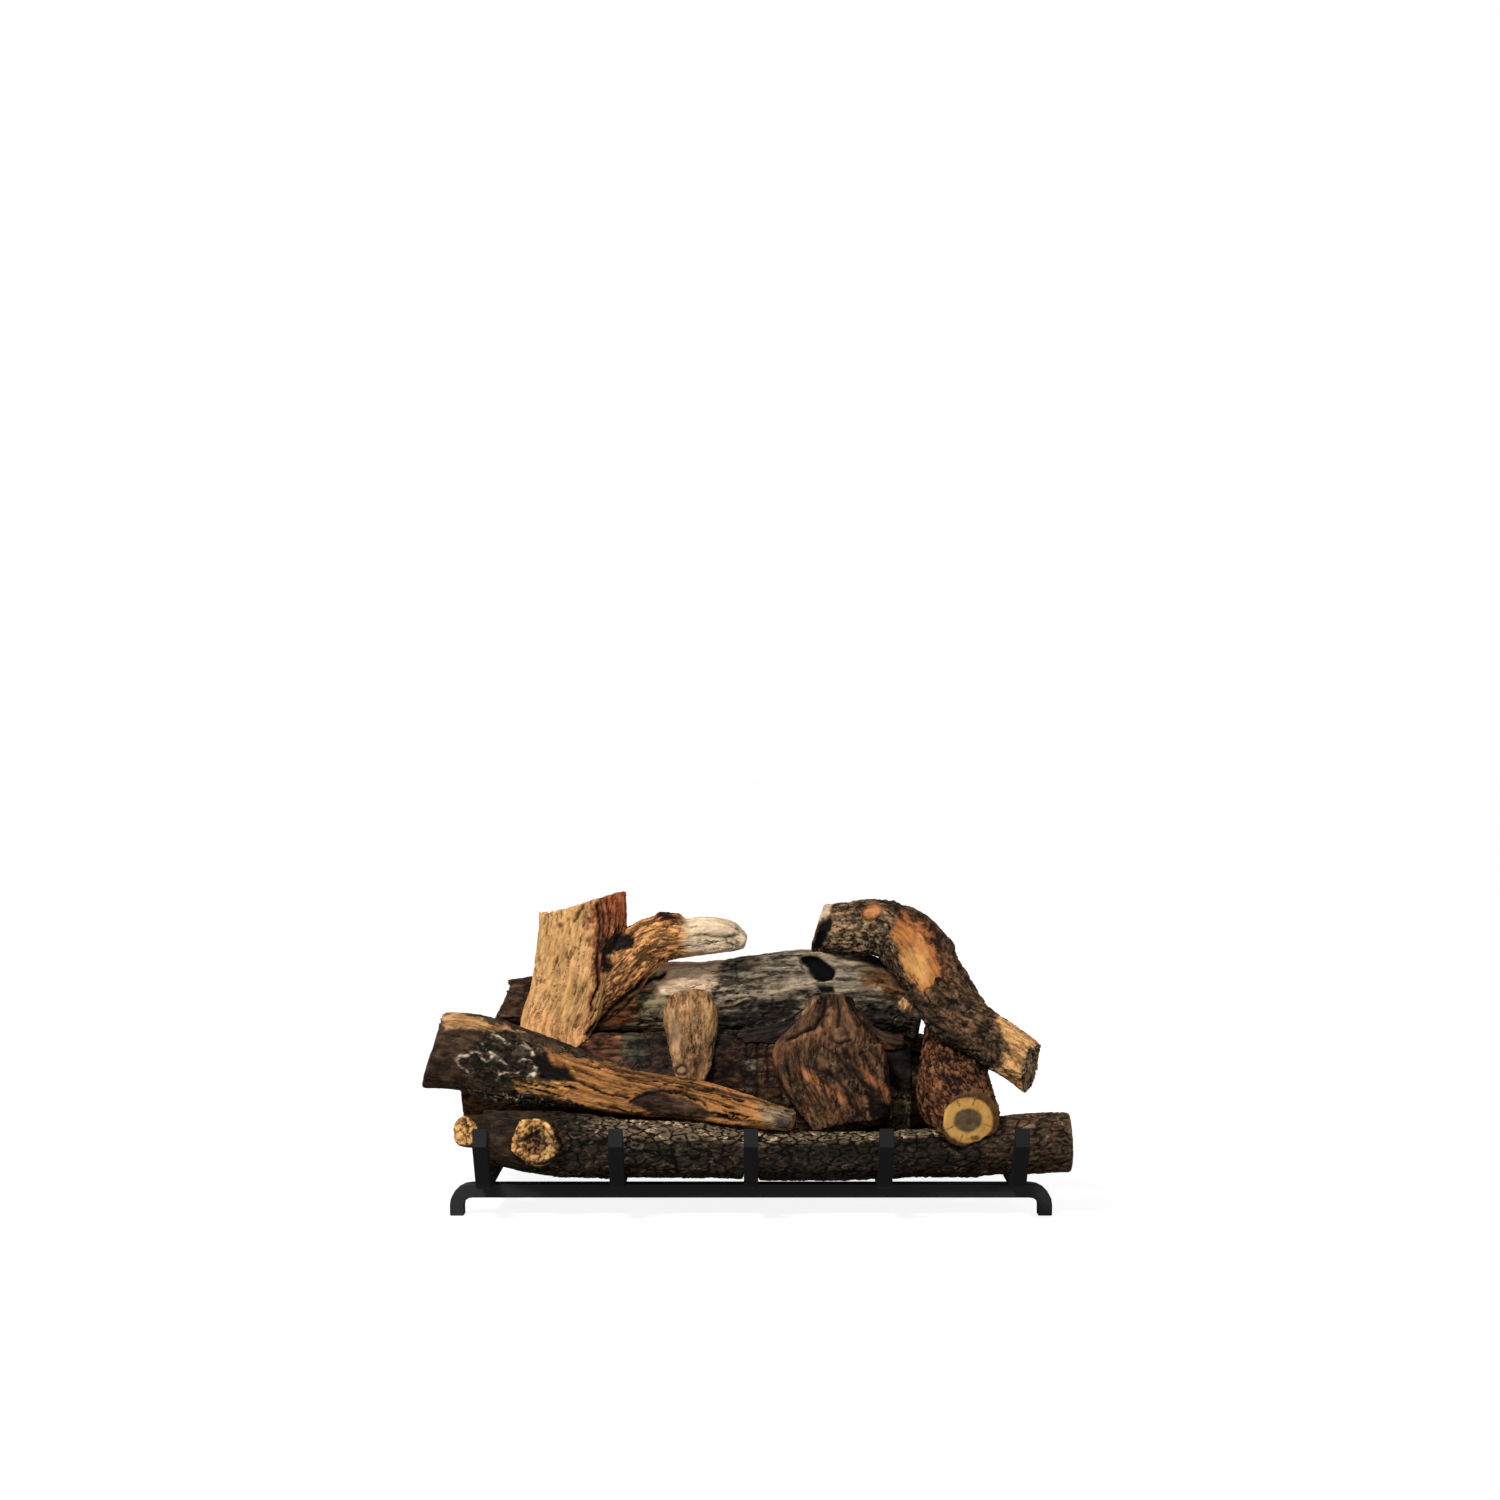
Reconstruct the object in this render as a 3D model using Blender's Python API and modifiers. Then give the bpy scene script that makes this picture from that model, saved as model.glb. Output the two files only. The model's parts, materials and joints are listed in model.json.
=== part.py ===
"""Gas log set: a square-bar grate, ten stacked refractory logs, and the gas burner,
pilot and safety valve that hide behind the front log.

Metres, X to the right, Y to the back, +Z up. The origin is on the hearth, under the
middle of the set.
"""

import math
import random

import bmesh
import bpy
from mathutils import Matrix, Vector

# Fits that all pieces share
GAP = 0.0003
OVERRUN = 0.003
CUTTER_DROP = 0.045
MERGE_DISTANCE = 0.00001
SHARP_ANGLE = math.radians(40)
MITRE_LIMIT_SHARE = 0.5
END_ROUND_SHARE = 0.12
FLAT_EASE_SHARE = 0.12
RIB_ROW_SHARE = 0.36

# Grate
BAR_SIDE = 0.014
GRATE_X = 0.005
GRATE_DEPTH = 0.344
RAIL_OVERHANG = 0.0379
RAIL_HEIGHT = 0.0322
RAIL_BEND = 0.015
FRONT_RAIL_Y = -0.097
REAR_RAIL_Y = 0.103
REAR_OVERHANG = 0.0119
REAR_LEG_SPREAD = 0.400
BAR_COUNT = 5
BAR_PITCH = 0.1303
TINE_TOP = 0.095
TINE_BEND = 0.016
TINE_LEAN = math.radians(30)
TINE_SHEAR = 0.012
BAR_EDGE = 0.0008

# Front log
FRONT_LENGTH = 0.583
FRONT_RADIUS = 0.030
FRONT_BITE = 0.0100
FRONT_X = -0.263
FRONT_Y = -0.104
STUB_RADIUS = 0.0245
STUB_REACH = 0.046
SMALL_STUB_RADIUS = 0.0165
SMALL_STUB_REACH = 0.032

# Middle log
MIDDLE_LENGTH = 0.458
MIDDLE_RADIUS = 0.061
MIDDLE_BITE = 0.0015
MIDDLE_X = -0.290
MIDDLE_Y = 0.006

# Rear base log
BASE_LENGTH = 0.448
BASE_RADIUS = 0.059
BASE_BITE = 0.0015
BASE_CLEARANCE = 0.005
BASE_Y = 0.112

# Rear log, in the groove between the middle log and the rear base log
REAR_LENGTH = 0.433
REAR_RADIUS = 0.050
REAR_BITE = 0.008
REAR_X = -0.256
HOLE_WIDTH = 0.040
HOLE_HEIGHT = 0.025
HOLE_DEPTH = 0.009
HOLE_TURN = math.radians(-35)

# Left split log
SPLIT_LENGTH = 0.359
SPLIT_RADIUS = 0.040
SPLIT_REACH = -0.039
SPLIT_DROP = -0.062
SPLIT_X = -0.312
SPLIT_Y = -0.068
SPLIT_LIFT = 0.051

# Forked log
TRUNK_WIDTH = 0.043
TRUNK_DEPTH = 0.021
TRUNK_RISE = 0.152
TRUNK_LEAN = 0.031
TRUNK_DRIFT = 0.029
TRUNK_X = -0.196
TRUNK_Y = -0.009
TRUNK_SINK = 0.018
BRANCH_LENGTH = 0.172
BRANCH_RADIUS = 0.028
BRANCH_RISE = 0.076
BRANCH_DRIFT = 0.001

# Root log
ROOT_RISE = 0.123
ROOT_WIDTH = 0.057
ROOT_DEPTH = 0.028
ROOT_LEAN = 0.054
ROOT_DRIFT = 0.021
ROOT_X = 0.108
ROOT_Y = -0.071
ROOT_SINK = 0.083
ROOT_ARM_RADIUS = 0.016
LEFT_ARM_LENGTH = 0.106
RIGHT_ARM_LENGTH = 0.058
ARM_DROP = 0.026
ARM_DRIFT = 0.005

# Wood chip
CHIP_RISE = 0.090
CHIP_WIDTH = 0.0285
CHIP_THICKNESS = 0.0105
CHIP_LEAN = 0.052
CHIP_X = -0.056
CHIP_Y = -0.055
CHIP_LIFT = 0.018

# Short round log
SHORT_DEPTH = 0.205
SHORT_RISE = 0.063
SHORT_RADIUS = 0.037
SHORT_X = 0.219
SHORT_Y = -0.137
SHORT_LIFT = 0.0352

# Upper right log
UPPER_LENGTH = 0.203
UPPER_REACH = -0.146
UPPER_DROP = -0.123
UPPER_RADIUS = 0.032
UPPER_X = 0.074
UPPER_Y = 0.052
UPPER_LIFT = 0.0752
KNOT_RADIUS = 0.0105
KNOT_REACH = 0.031
TWIG_RADIUS = 0.0075
TWIG_REACH = 0.044

# Burner tube, air shutter and orifice
TUBE_RADIUS = 0.010
TUBE_WALL = 0.0015
TUBE_LENGTH = 0.405
MIXER_OVERHANG = 0.0397
TUBE_Y = -0.059
PORT_COUNT = 14
PORT_LENGTH = 0.008
PORT_WIDTH = 0.0022
PORT_SPAN = 0.320
WINDOW_LENGTH = 0.012
WINDOW_WIDTH = 0.008
MIXER_INSET = 0.017
SHUTTER_LENGTH = 0.022
SHUTTER_WALL = 0.0012
CAP_LENGTH = 0.012
CAP_WALL = 0.0015
BRACKET_LENGTH = 0.012
BRACKET_DEPTH = 0.034
BRACKET_FOOT = 0.004
ORIFICE_LENGTH = 0.016
ORIFICE_HEX = 0.0075
ORIFICE_PLUG = 0.006
ORIFICE_BORE = 0.0010
SUPPLY_RADIUS = 0.004

# Valve
VALVE_LENGTH = 0.044
VALVE_DEPTH = 0.040
VALVE_HEIGHT = 0.027
VALVE_INSET = 0.0396
VALVE_Y = 0.040
VALVE_EDGE = 0.0025
BOSS_RADIUS = 0.009
BOSS_LENGTH = 0.005
SPINDLE_RADIUS = 0.0035
SPINDLE_LENGTH = 0.022
SPINDLE_GRIP = 0.008
SPINDLE_FIT = 0.00035
KNOB_RADIUS = 0.0130
KNOB_LENGTH = 0.017
KNOB_TRAVEL = 0.004
KNOB_LOBES = 12
KNOB_LOBE_DEPTH = 0.0006
KNOB_WALL = 0.0045
POINTER_WIDTH = 0.002
POINTER_LENGTH = 0.0104
POINTER_OFFSET = 0.0058
POINTER_HEIGHT = 0.0008
INLET_RADIUS = 0.0085
INLET_NECK = 0.0073
INLET_LENGTH = 0.026
INLET_BORE = 0.0045
INLET_HEX_SHARE = 0.40
PLATE_THICKNESS = 0.002
PLATE_DEPTH = 0.036
SCREW_RADIUS = 0.002
SCREW_HEAD = 0.0038
SCREW_HEAD_HEIGHT = 0.0022
SCREW_DEPTH = 0.006
SLOT_WIDTH = 0.0010

# Pilot
PILOT_INSET = 0.080
PILOT_Y = -0.040
PILOT_RADIUS = 0.0045
PILOT_HEIGHT = 0.022
PILOT_WALL = 0.0009
PILOT_PLATE_LENGTH = 0.034
PILOT_PLATE_THICKNESS = 0.0015
THERMO_RADIUS = 0.0022
THERMO_HEIGHT = 0.026
THERMO_SPACING = 0.015
PILOT_TUBE_RADIUS = 0.0025
LEAD_RADIUS = 0.0014
LEAD_STEP = 0.015

ROUND_STEPS = 20
SMALL_STEPS = 12

# Places worked out from the sizes above
BAR_XS = [GRATE_X + (i - (BAR_COUNT - 1) / 2) * BAR_PITCH for i in range(BAR_COUNT)]
BAR_SPREAD = BAR_XS[-1] - BAR_XS[0]
RAIL_WIDTH = BAR_SPREAD + 2 * RAIL_OVERHANG
REAR_RAIL_WIDTH = BAR_SPREAD + 2 * REAR_OVERHANG
RAIL_AXIS_Z = RAIL_HEIGHT - BAR_SIDE / 2
BAR_AXIS_Z = RAIL_HEIGHT + GAP + BAR_SIDE / 2
BAR_TOP = BAR_AXIS_Z + BAR_SIDE / 2
SEAT = BAR_TOP + GAP
FRONT_Z = SEAT + FRONT_RADIUS - FRONT_BITE
MIDDLE_Z = SEAT + MIDDLE_RADIUS - MIDDLE_BITE
BASE_Z = SEAT + BASE_RADIUS - BASE_BITE
HALF_GROOVE = (BASE_Y - MIDDLE_Y) / 2
REAR_Y = MIDDLE_Y + HALF_GROOVE
REAR_Z = MIDDLE_Z + math.sqrt((MIDDLE_RADIUS + REAR_RADIUS) ** 2 - HALF_GROOVE**2) - REAR_BITE
TUBE_Z = SEAT + BRACKET_FOOT + TUBE_RADIUS
VALVE_Z = SEAT + PLATE_THICKNESS + GAP + VALVE_HEIGHT / 2
VALVE_X = BAR_XS[4] - VALVE_INSET
VALVE_RIGHT = VALVE_X + VALVE_LENGTH / 2
VALVE_FRONT = VALVE_Y - VALVE_DEPTH / 2
TUBE_RIGHT = BAR_XS[3] + MIXER_OVERHANG
TUBE_LEFT = TUBE_RIGHT - TUBE_LENGTH
PILOT_X = TUBE_RIGHT - PILOT_INSET
INLET_X = VALVE_RIGHT - VALVE_EDGE - INLET_RADIUS
INLET_CORNER = INLET_RADIUS / math.cos(math.pi / 6)
BASE_X = INLET_X - INLET_CORNER - BASE_CLEARANCE - BASE_LENGTH


def collection(name):
    """A new collection in the scene."""
    made = bpy.data.collections.new(name)
    bpy.context.scene.collection.children.link(made)
    return made


def finish(name, colour, roughness, metallic=0.0):
    """A Principled material."""
    material = bpy.data.materials.new(name)
    material.use_nodes = True
    shader = material.node_tree.nodes["Principled BSDF"]
    shader.inputs["Base Color"].default_value = (*colour, 1)
    shader.inputs["Roughness"].default_value = roughness
    shader.inputs["Metallic"].default_value = metallic
    return material


def place(name, data, material=None, where=None, matrix=None):
    """An object in the parts collection, or in the cutters one when it has no material."""
    obj = bpy.data.objects.new(name, data)
    if material:
        data.materials.append(material)
    target = where or (PARTS if material else CUTTERS)
    target.objects.link(obj)
    if matrix:
        obj.matrix_world = matrix
    if not material:
        obj.hide_render = True
        obj.display_type = "WIRE"
    return obj


def mesh_from(bm, name):
    """A mesh from a bmesh, with its normals turned outwards."""
    bmesh.ops.recalc_face_normals(bm, faces=bm.faces)
    mesh = bpy.data.meshes.new(name)
    bm.to_mesh(mesh)
    bm.free()
    return mesh


def boolean(obj, other, operation="DIFFERENCE"):
    """A Boolean with an object or with a whole collection."""
    modifier = obj.modifiers.new(operation.lower(), "BOOLEAN")
    modifier.operation = operation
    modifier.solver = "EXACT"
    if isinstance(other, bpy.types.Collection):
        modifier.operand_type = "COLLECTION"
        modifier.collection = other
    else:
        modifier.object = other
    return modifier


def bevel(obj, width, segments=1):
    """A Bevel on the sharp edges, after a Weld that closes loose caps."""
    weld = obj.modifiers.new("weld", "WELD")
    weld.merge_threshold = MERGE_DISTANCE
    modifier = obj.modifiers.new("bevel", "BEVEL")
    modifier.width = width
    modifier.segments = segments
    modifier.limit_method = "ANGLE"
    modifier.angle_limit = SHARP_ANGLE


def box_mesh(name, size):
    """A box of the given size, about its own origin."""
    bm = bmesh.new()
    bmesh.ops.create_cube(bm, size=1, matrix=Matrix.Diagonal((*size, 1)))
    return mesh_from(bm, name)


def rod_mesh(name, radius, length, steps=ROUND_STEPS):
    """A round bar along Z, about its own origin."""
    bm = bmesh.new()
    bmesh.ops.create_cone(bm, cap_ends=True, segments=steps, radius1=radius, radius2=radius, depth=length)
    return mesh_from(bm, name)


def turned(name, profile, material, matrix, steps=ROUND_STEPS):
    """A turned piece from an outline of (radius, height) pairs that starts at the top.

    The outline closes on itself, and a stretch that runs along the axis is left out.
    """
    mesh = bpy.data.meshes.new(name)
    pairs = [(i, (i + 1) % len(profile)) for i in range(len(profile))]
    edges = [(a, b) for a, b in pairs if profile[a][0] or profile[b][0]]
    mesh.from_pydata([(r, 0, z) for r, z in profile], edges, [])
    obj = place(name, mesh, material, matrix=matrix)
    screw = obj.modifiers.new("turn", "SCREW")
    screw.steps = steps
    screw.render_steps = steps
    screw.use_merge_vertices = True
    screw.merge_threshold = MERGE_DISTANCE
    return obj


def turn_to(axis, at):
    """The matrix that lays local Z along an axis, at a place."""
    turn = Vector((0, 0, 1)).rotation_difference(Vector(axis))
    return Matrix.Translation(at) @ turn.to_matrix().to_4x4()


def shared(sizes, shares):
    """A vector of sizes, each times its share."""
    return Vector([size * share for size, share in zip(sizes, shares)])


def band(path, half, end_shear=0.0):
    """The outline of a bar of constant width that follows a path, its far end cut on the slant."""
    left, right = [], []
    last = len(path) - 1
    for i, point in enumerate(path):
        into = (point - path[i - 1]).normalized() if i else (path[1] - point).normalized()
        out = (path[i + 1] - point).normalized() if i < last else into
        along = (into + out).normalized()
        side = Vector((-along.y, along.x)) * (half / max(along.dot(into), MITRE_LIMIT_SHARE))
        shear = along * (end_shear if i == last else 0)
        left.append(point + side - shear)
        right.append(point - side)
    return left + right[::-1]


def arc(centre, radius, start, end, steps=5):
    """Points on an arc, angles in radians."""
    angles = [start + (end - start) * i / steps for i in range(steps + 1)]
    return [centre + radius * Vector((math.cos(a), math.sin(a))) for a in angles]


def flat_mesh(name, outline, thickness):
    """A flat outline with thickness, as a mesh with welded caps."""
    curve = bpy.data.curves.new(name, "CURVE")
    curve.dimensions = "2D"
    curve.fill_mode = "BOTH"
    curve.extrude = thickness / 2
    spline = curve.splines.new("POLY")
    spline.points.add(len(outline) - 1)
    for point, (x, y) in zip(spline.points, outline):
        point.co = (x, y, 0, 1)
    spline.use_cyclic_u = True
    return welded_mesh(name, curve)


def tube_mesh(name, route, radius, resolution=2, per_span=3):
    """A round tube on a smooth route whose end spans are straight, as a mesh with welded caps."""
    curve = bpy.data.curves.new(name, "CURVE")
    curve.dimensions = "3D"
    curve.bevel_depth = radius
    curve.bevel_resolution = resolution
    curve.use_fill_caps = True
    rows = smooth_rows(route, (len(route) - 1) * per_span + 1)
    points = [rows[0]] + rows[per_span:-per_span] + [rows[-1]]
    spline = curve.splines.new("POLY")
    spline.points.add(len(points) - 1)
    for point, row in zip(spline.points, points):
        point.co = (*row, 1)
    return welded_mesh(name, curve)


def welded_mesh(name, curve):
    """A curve's mesh with its caps joined to its sides."""
    holder = bpy.data.objects.new(name, curve)
    PARTS.objects.link(holder)
    graph = bpy.context.evaluated_depsgraph_get()
    mesh = bpy.data.meshes.new_from_object(holder.evaluated_get(graph))
    bpy.data.objects.remove(holder)
    bpy.data.curves.remove(curve)
    bm = bmesh.new()
    bm.from_mesh(mesh)
    bmesh.ops.remove_doubles(bm, verts=bm.verts, dist=MERGE_DISTANCE)
    bpy.data.meshes.remove(mesh)
    return mesh_from(bm, name)


def smooth_rows(rows, count):
    """Rows of numbers read off the smooth curve through the given rows."""
    made = []
    last = len(rows) - 1
    for step in range(count):
        position = last * step / (count - 1)
        i = min(int(position), last - 1)
        t = position - i
        a, b, c, d = (rows[min(max(i + k, 0), last)] for k in (-1, 0, 1, 2))
        row = []
        for p, q, r, s in zip(a, b, c, d):
            bend = (2 * p - 5 * q + 4 * r - s) * t**2 + (3 * q - p - 3 * r + s) * t**3
            row.append((2 * q + (r - p) * t + bend) / 2)
        made.append(row)
    return made


class Limb:
    """A log or a branch: a spine with an uneven, lobed and ribbed section.

    Each row of shares is x, y, z along the span, then the half width as a share of the
    radius and the half height as a share of the depth. A flat is an angle in degrees, how
    far out it lies and where along it starts. Square 2 is an ellipse and more is boxier.
    The slants are those of the near and the far end face, each across and upwards. The rib
    share is how far strips of bark stand out or lie in, each strip wandering along the limb.
    """

    def __init__(self, start, span, radius, row_shares, facing=(0, 0, 1), square=2.0, **more):
        self.start, self.span, self.radius = Vector(start), span, radius
        self.rows, self.facing, self.square = row_shares, Vector(facing), square
        self.sides = more.get("sides", 14)
        self.rings = more.get("rings", 16)
        self.flat_shares = more.get("flat_shares", ())
        self.lobe_share = more.get("lobe_share", 0.045)
        self.lobe_counts = more.get("lobe_counts", (2, 3, 5))
        self.rib_share = more.get("rib_share", 0.03)
        self.end_share = more.get("end_share", 0.93)
        self.slant_shares = more.get("slant_shares", ((0, 0), (0, 0)))
        self.seed = more.get("seed", 1)
        self.depth = more.get("depth", radius)

    def outline_share(self, angle, along, phases, rib):
        """How far the surface lies from the spine at an angle, as a share of its radius."""
        p = self.square
        reach = (abs(math.cos(angle)) ** p + abs(math.sin(angle)) ** p) ** (-1 / p)
        for count, (phase, twist) in zip(self.lobe_counts, phases):
            reach += self.lobe_share * math.cos(count * angle + phase + twist * along)
        reach += self.rib_share * rib
        for degrees, depth, begins in self.flat_shares:
            facing = math.cos(angle - math.radians(degrees))
            if facing > 0 and along >= begins:
                eased = depth + (1 - depth) * max(0, 1 - (along - begins) / FLAT_EASE_SHARE)
                reach = min(reach, eased / facing)
        return reach

    def ring_points(self, grow=0.0, skirt=0.0):
        """The rings of the surface, grown by a clearance and, for a cutter, dropped below."""
        rnd = random.Random(self.seed)
        phases = [(rnd.uniform(0, math.tau), rnd.uniform(-4, 4)) for _ in self.lobe_counts]
        ribs = self.rib_rows(rnd)
        rows = smooth_rows(self.rows, self.rings)
        spine = [self.start + Vector([s * r for s, r in zip(self.span, row)]) for row in rows]
        made = []
        for i, (centre, row) in enumerate(zip(spine, rows)):
            along = i / (self.rings - 1)
            tangent = (spine[min(i + 1, self.rings - 1)] - spine[max(i - 1, 0)]).normalized()
            up = (self.facing - tangent * self.facing.dot(tangent)).normalized()
            side = tangent.cross(up)
            slants = self.slant_shares[0 if i == 0 else 1] if i in (0, self.rings - 1) else (0, 0)
            ring = []
            for k in range(self.sides):
                angle = math.tau * k / self.sides
                reach = self.outline_share(angle, along, phases, ribs[i][k])
                across = math.cos(angle) * reach * row[3] * self.radius
                over = math.sin(angle) * reach * row[4] * self.depth
                away = Vector((across, over)).normalized() * grow
                across, over = across + away.x, over + away.y
                ring.append([across, over, across * slants[0] + over * slants[1]])
            if skirt:
                self.widen_down(ring, skirt)
            made.append([centre + side * a + up * o + tangent * slant for a, o, slant in ring])
        return made, spine

    def rib_rows(self, rnd):
        """For each ring, how far each strip of bark stands out, from -1 to 1."""
        count = max(2, round(self.rings * RIB_ROW_SHARE))
        marks = [[rnd.uniform(-1, 1) for _ in range(self.sides)] for _ in range(count)]
        return smooth_rows(marks, self.rings)

    def widen_down(self, ring, skirt):
        """Clears a ring of undercuts, so that what is cut with it lifts off, and drops its underside."""
        widest = max(abs(point[0]) for point in ring)
        top = max(range(self.sides), key=lambda k: ring[k][1])
        for step, further in ((-1, max), (1, min)):
            k, reach = top, ring[top][0]
            while ring[k % self.sides][1] >= 0:
                reach = further(reach, ring[k % self.sides][0])
                ring[k % self.sides][0] = reach
                k += step
        for point in ring:
            if point[1] < 0:
                point[0] = math.copysign(widest, point[0])
                point[1] = -skirt

    def mesh(self, name, grow=0.0, skirt=0.0):
        """The closed mesh, with a small chamfer round each end face."""
        rings, spine = self.ring_points(grow, skirt)
        first, last = rings[0], rings[-1]
        lead = (spine[0] - spine[1]).normalized() * grow
        tail = (spine[-1] - spine[-2]).normalized() * grow
        rings[0] = [p + lead for p in first]
        rings[-1] = [p + tail for p in last]
        if not grow:
            rings = [self.shrunk(rings[0], spine[0])] + rings + [self.shrunk(rings[-1], spine[-1])]
            rings[1] = [p + (q - p) * END_ROUND_SHARE for p, q in zip(rings[1], rings[2])]
            rings[-2] = [p + (q - p) * END_ROUND_SHARE for p, q in zip(rings[-2], rings[-3])]
        bm = bmesh.new()
        loops = [[bm.verts.new(p) for p in ring] for ring in rings]
        count = self.sides
        for a, b in zip(loops, loops[1:]):
            for k in range(count):
                bm.faces.new((a[k], a[(k + 1) % count], b[(k + 1) % count], b[k]))
        for loop in (loops[0][::-1], loops[-1]):
            middle = bm.verts.new(sum((v.co for v in loop), Vector()) / count)
            for k in range(count):
                bm.faces.new((loop[k], loop[(k + 1) % count], middle))
        bmesh.ops.triangulate(bm, faces=bm.faces)
        return mesh_from(bm, name)

    def shrunk(self, ring, centre):
        """The rim of an end face, a little inside the surface."""
        return [centre + (p - centre) * self.end_share for p in ring]

    def cutter(self, name, skirt=0.0):
        """This limb's shape with the clearance round it, to cut a seat in what rests on it."""
        return place(name + ("_skirt" if skirt else "_seat"), self.mesh(name, GAP, skirt))


def add_log(name, limb, material, limbs=(), seats=()):
    """A log with its branches joined on and its seats cut."""
    obj = place(name, limb.mesh(name), material)
    for i, extra in enumerate(limbs):
        helper = place(f"{name}_limb_{i + 1}", extra.mesh(f"{name}_limb_{i + 1}"))
        boolean(obj, helper, "UNION")
    for seat in seats:
        boolean(obj, seat)
    return obj


def rail_path(width, height):
    """The path of the front rail: up one foot, across and down the other."""
    reach = width / 2 - BAR_SIDE / 2
    turn = height - RAIL_BEND
    left = arc(Vector((-reach + RAIL_BEND, turn)), RAIL_BEND, math.pi, math.pi / 2)
    right = arc(Vector((reach - RAIL_BEND, turn)), RAIL_BEND, math.pi / 2, 0)
    return [Vector((-reach, 0))] + left + right + [Vector((reach, 0))]


def bar_path():
    """The path of a grate bar, from its rear end to its tine's tip, in the YZ plane."""
    turn = math.pi / 2 - TINE_LEAN
    rise = TINE_TOP - BAR_AXIS_Z
    straight = (rise - TINE_BEND * (1 - math.cos(turn))) / math.sin(turn)
    run = TINE_BEND * math.sin(turn) + straight * math.cos(turn)
    bend_y = -GRATE_DEPTH / 2 + run + BAR_SIDE / 2 * math.sin(turn) - TINE_SHEAR * math.cos(turn)
    centre = Vector((bend_y, BAR_AXIS_Z + TINE_BEND))
    bend = arc(centre, TINE_BEND, -math.pi / 2, -math.pi / 2 - turn)
    tip = bend[-1] + Vector((-math.cos(turn), math.sin(turn))) * straight
    return [Vector((GRATE_DEPTH / 2, BAR_AXIS_Z))] + bend + [tip]


def bar_mesh(name, grow=0.0):
    """A grate bar or, grown by a clearance, the cutter for what rests on it."""
    outline = band(bar_path(), BAR_SIDE / 2 + grow, 0 if grow else TINE_SHEAR)
    return flat_mesh(name, outline, BAR_SIDE + 2 * grow)


def make_grate():
    """Two rails, two rear legs and the bars, and returns the bars' cutters as a collection."""
    steel = finish("grate_black", (0.012, 0.012, 0.013), 0.55, 0.3)
    upright = Matrix.Rotation(math.pi / 2, 4, "X")
    sideways = Matrix.Rotation(math.pi / 2, 4, "Z") @ upright
    outline = band(rail_path(RAIL_WIDTH, RAIL_AXIS_Z), BAR_SIDE / 2)
    at = Matrix.Translation((GRATE_X, FRONT_RAIL_Y, 0)) @ upright
    bevel(place("grate_front_rail", flat_mesh("rail", outline, BAR_SIDE), steel, matrix=at), BAR_EDGE)
    at = Matrix.Translation((GRATE_X, REAR_RAIL_Y, RAIL_AXIS_Z))
    size = (REAR_RAIL_WIDTH, BAR_SIDE, BAR_SIDE)
    bevel(place("grate_rear_rail", box_mesh("rear_rail", size), steel, matrix=at), BAR_EDGE)
    leg_height = RAIL_HEIGHT - BAR_SIDE - GAP
    for side, sign in (("left", -1), ("right", 1)):
        at = Matrix.Translation((GRATE_X + sign * REAR_LEG_SPREAD / 2, REAR_RAIL_Y, leg_height / 2))
        leg = box_mesh("rear_leg", (BAR_SIDE, BAR_SIDE, leg_height))
        bevel(place(f"grate_rear_leg_{side}", leg, steel, matrix=at), BAR_EDGE)
    seats = collection("bar_seats")
    for i, x in enumerate(BAR_XS):
        at = Matrix.Translation((x, 0, 0)) @ sideways
        bar = place(f"grate_bar_{i + 1}", bar_mesh("bar"), steel, matrix=at)
        bevel(bar, BAR_EDGE)
        place(f"bar_seat_{i + 1}", bar_mesh("bar_seat", GAP), where=seats, matrix=at)
    return seats


def make_logs(bars):
    """The ten logs, from the ones on the grate up."""
    front, front_limbs = front_limb()
    middle, base = middle_limb(), base_limb()
    rear, split, short = rear_limb(), split_limb(), short_limb()
    front_skirt = front.cutter("front", CUTTER_DROP)
    middle_seat = middle.cutter("middle")
    middle_skirt = middle.cutter("middle", MIDDLE_RADIUS)
    base_seat = base.cutter("base")
    base_skirt = base.cutter("base", BASE_RADIUS)
    rear_skirt = rear.cutter("rear", CUTTER_DROP)
    split_skirt = split.cutter("split", CUTTER_DROP)
    short_skirt = short.cutter("short", CUTTER_DROP)

    dark = finish("front_bark", (0.075, 0.045, 0.026), 0.9)
    add_log("front_log", front, dark, front_limbs, [bars])
    add_log("middle_log", middle, finish("middle_char", (0.06, 0.045, 0.035), 0.92), seats=[bars])
    add_log("rear_base_log", base, finish("base_bark", (0.09, 0.06, 0.04), 0.92), seats=[bars])
    grey = finish("rear_char", (0.14, 0.13, 0.12), 0.9)
    add_log("rear_log", rear, grey, seats=[middle_seat, base_seat, burnt_hole()])
    brown = finish("split_wood", (0.30, 0.15, 0.06), 0.8)
    add_log("left_split_log", split, brown, seats=[front_skirt, middle_skirt])
    trunk, branch = forked_limbs()
    tan = finish("forked_wood", (0.50, 0.29, 0.13), 0.75)
    add_log("forked_log", trunk, tan, [branch], [middle_skirt, rear_skirt])
    root, arms = root_limbs()
    stump = finish("root_bark", (0.13, 0.07, 0.035), 0.85)
    add_log("root_log", root, stump, arms, [middle_skirt, front_skirt])
    pale = finish("chip_wood", (0.36, 0.24, 0.14), 0.8)
    add_log("wood_chip", chip_limb(), pale, seats=[middle_skirt, split_skirt])
    rough = finish("short_bark", (0.17, 0.09, 0.05), 0.9)
    add_log("short_round_log", short, rough, seats=[front_skirt, middle_skirt, base_skirt])
    warm = finish("upper_bark", (0.16, 0.09, 0.05), 0.88)
    upper, knots = upper_limbs()
    add_log("upper_right_log", upper, warm, knots, [rear_skirt, short_skirt])


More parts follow.
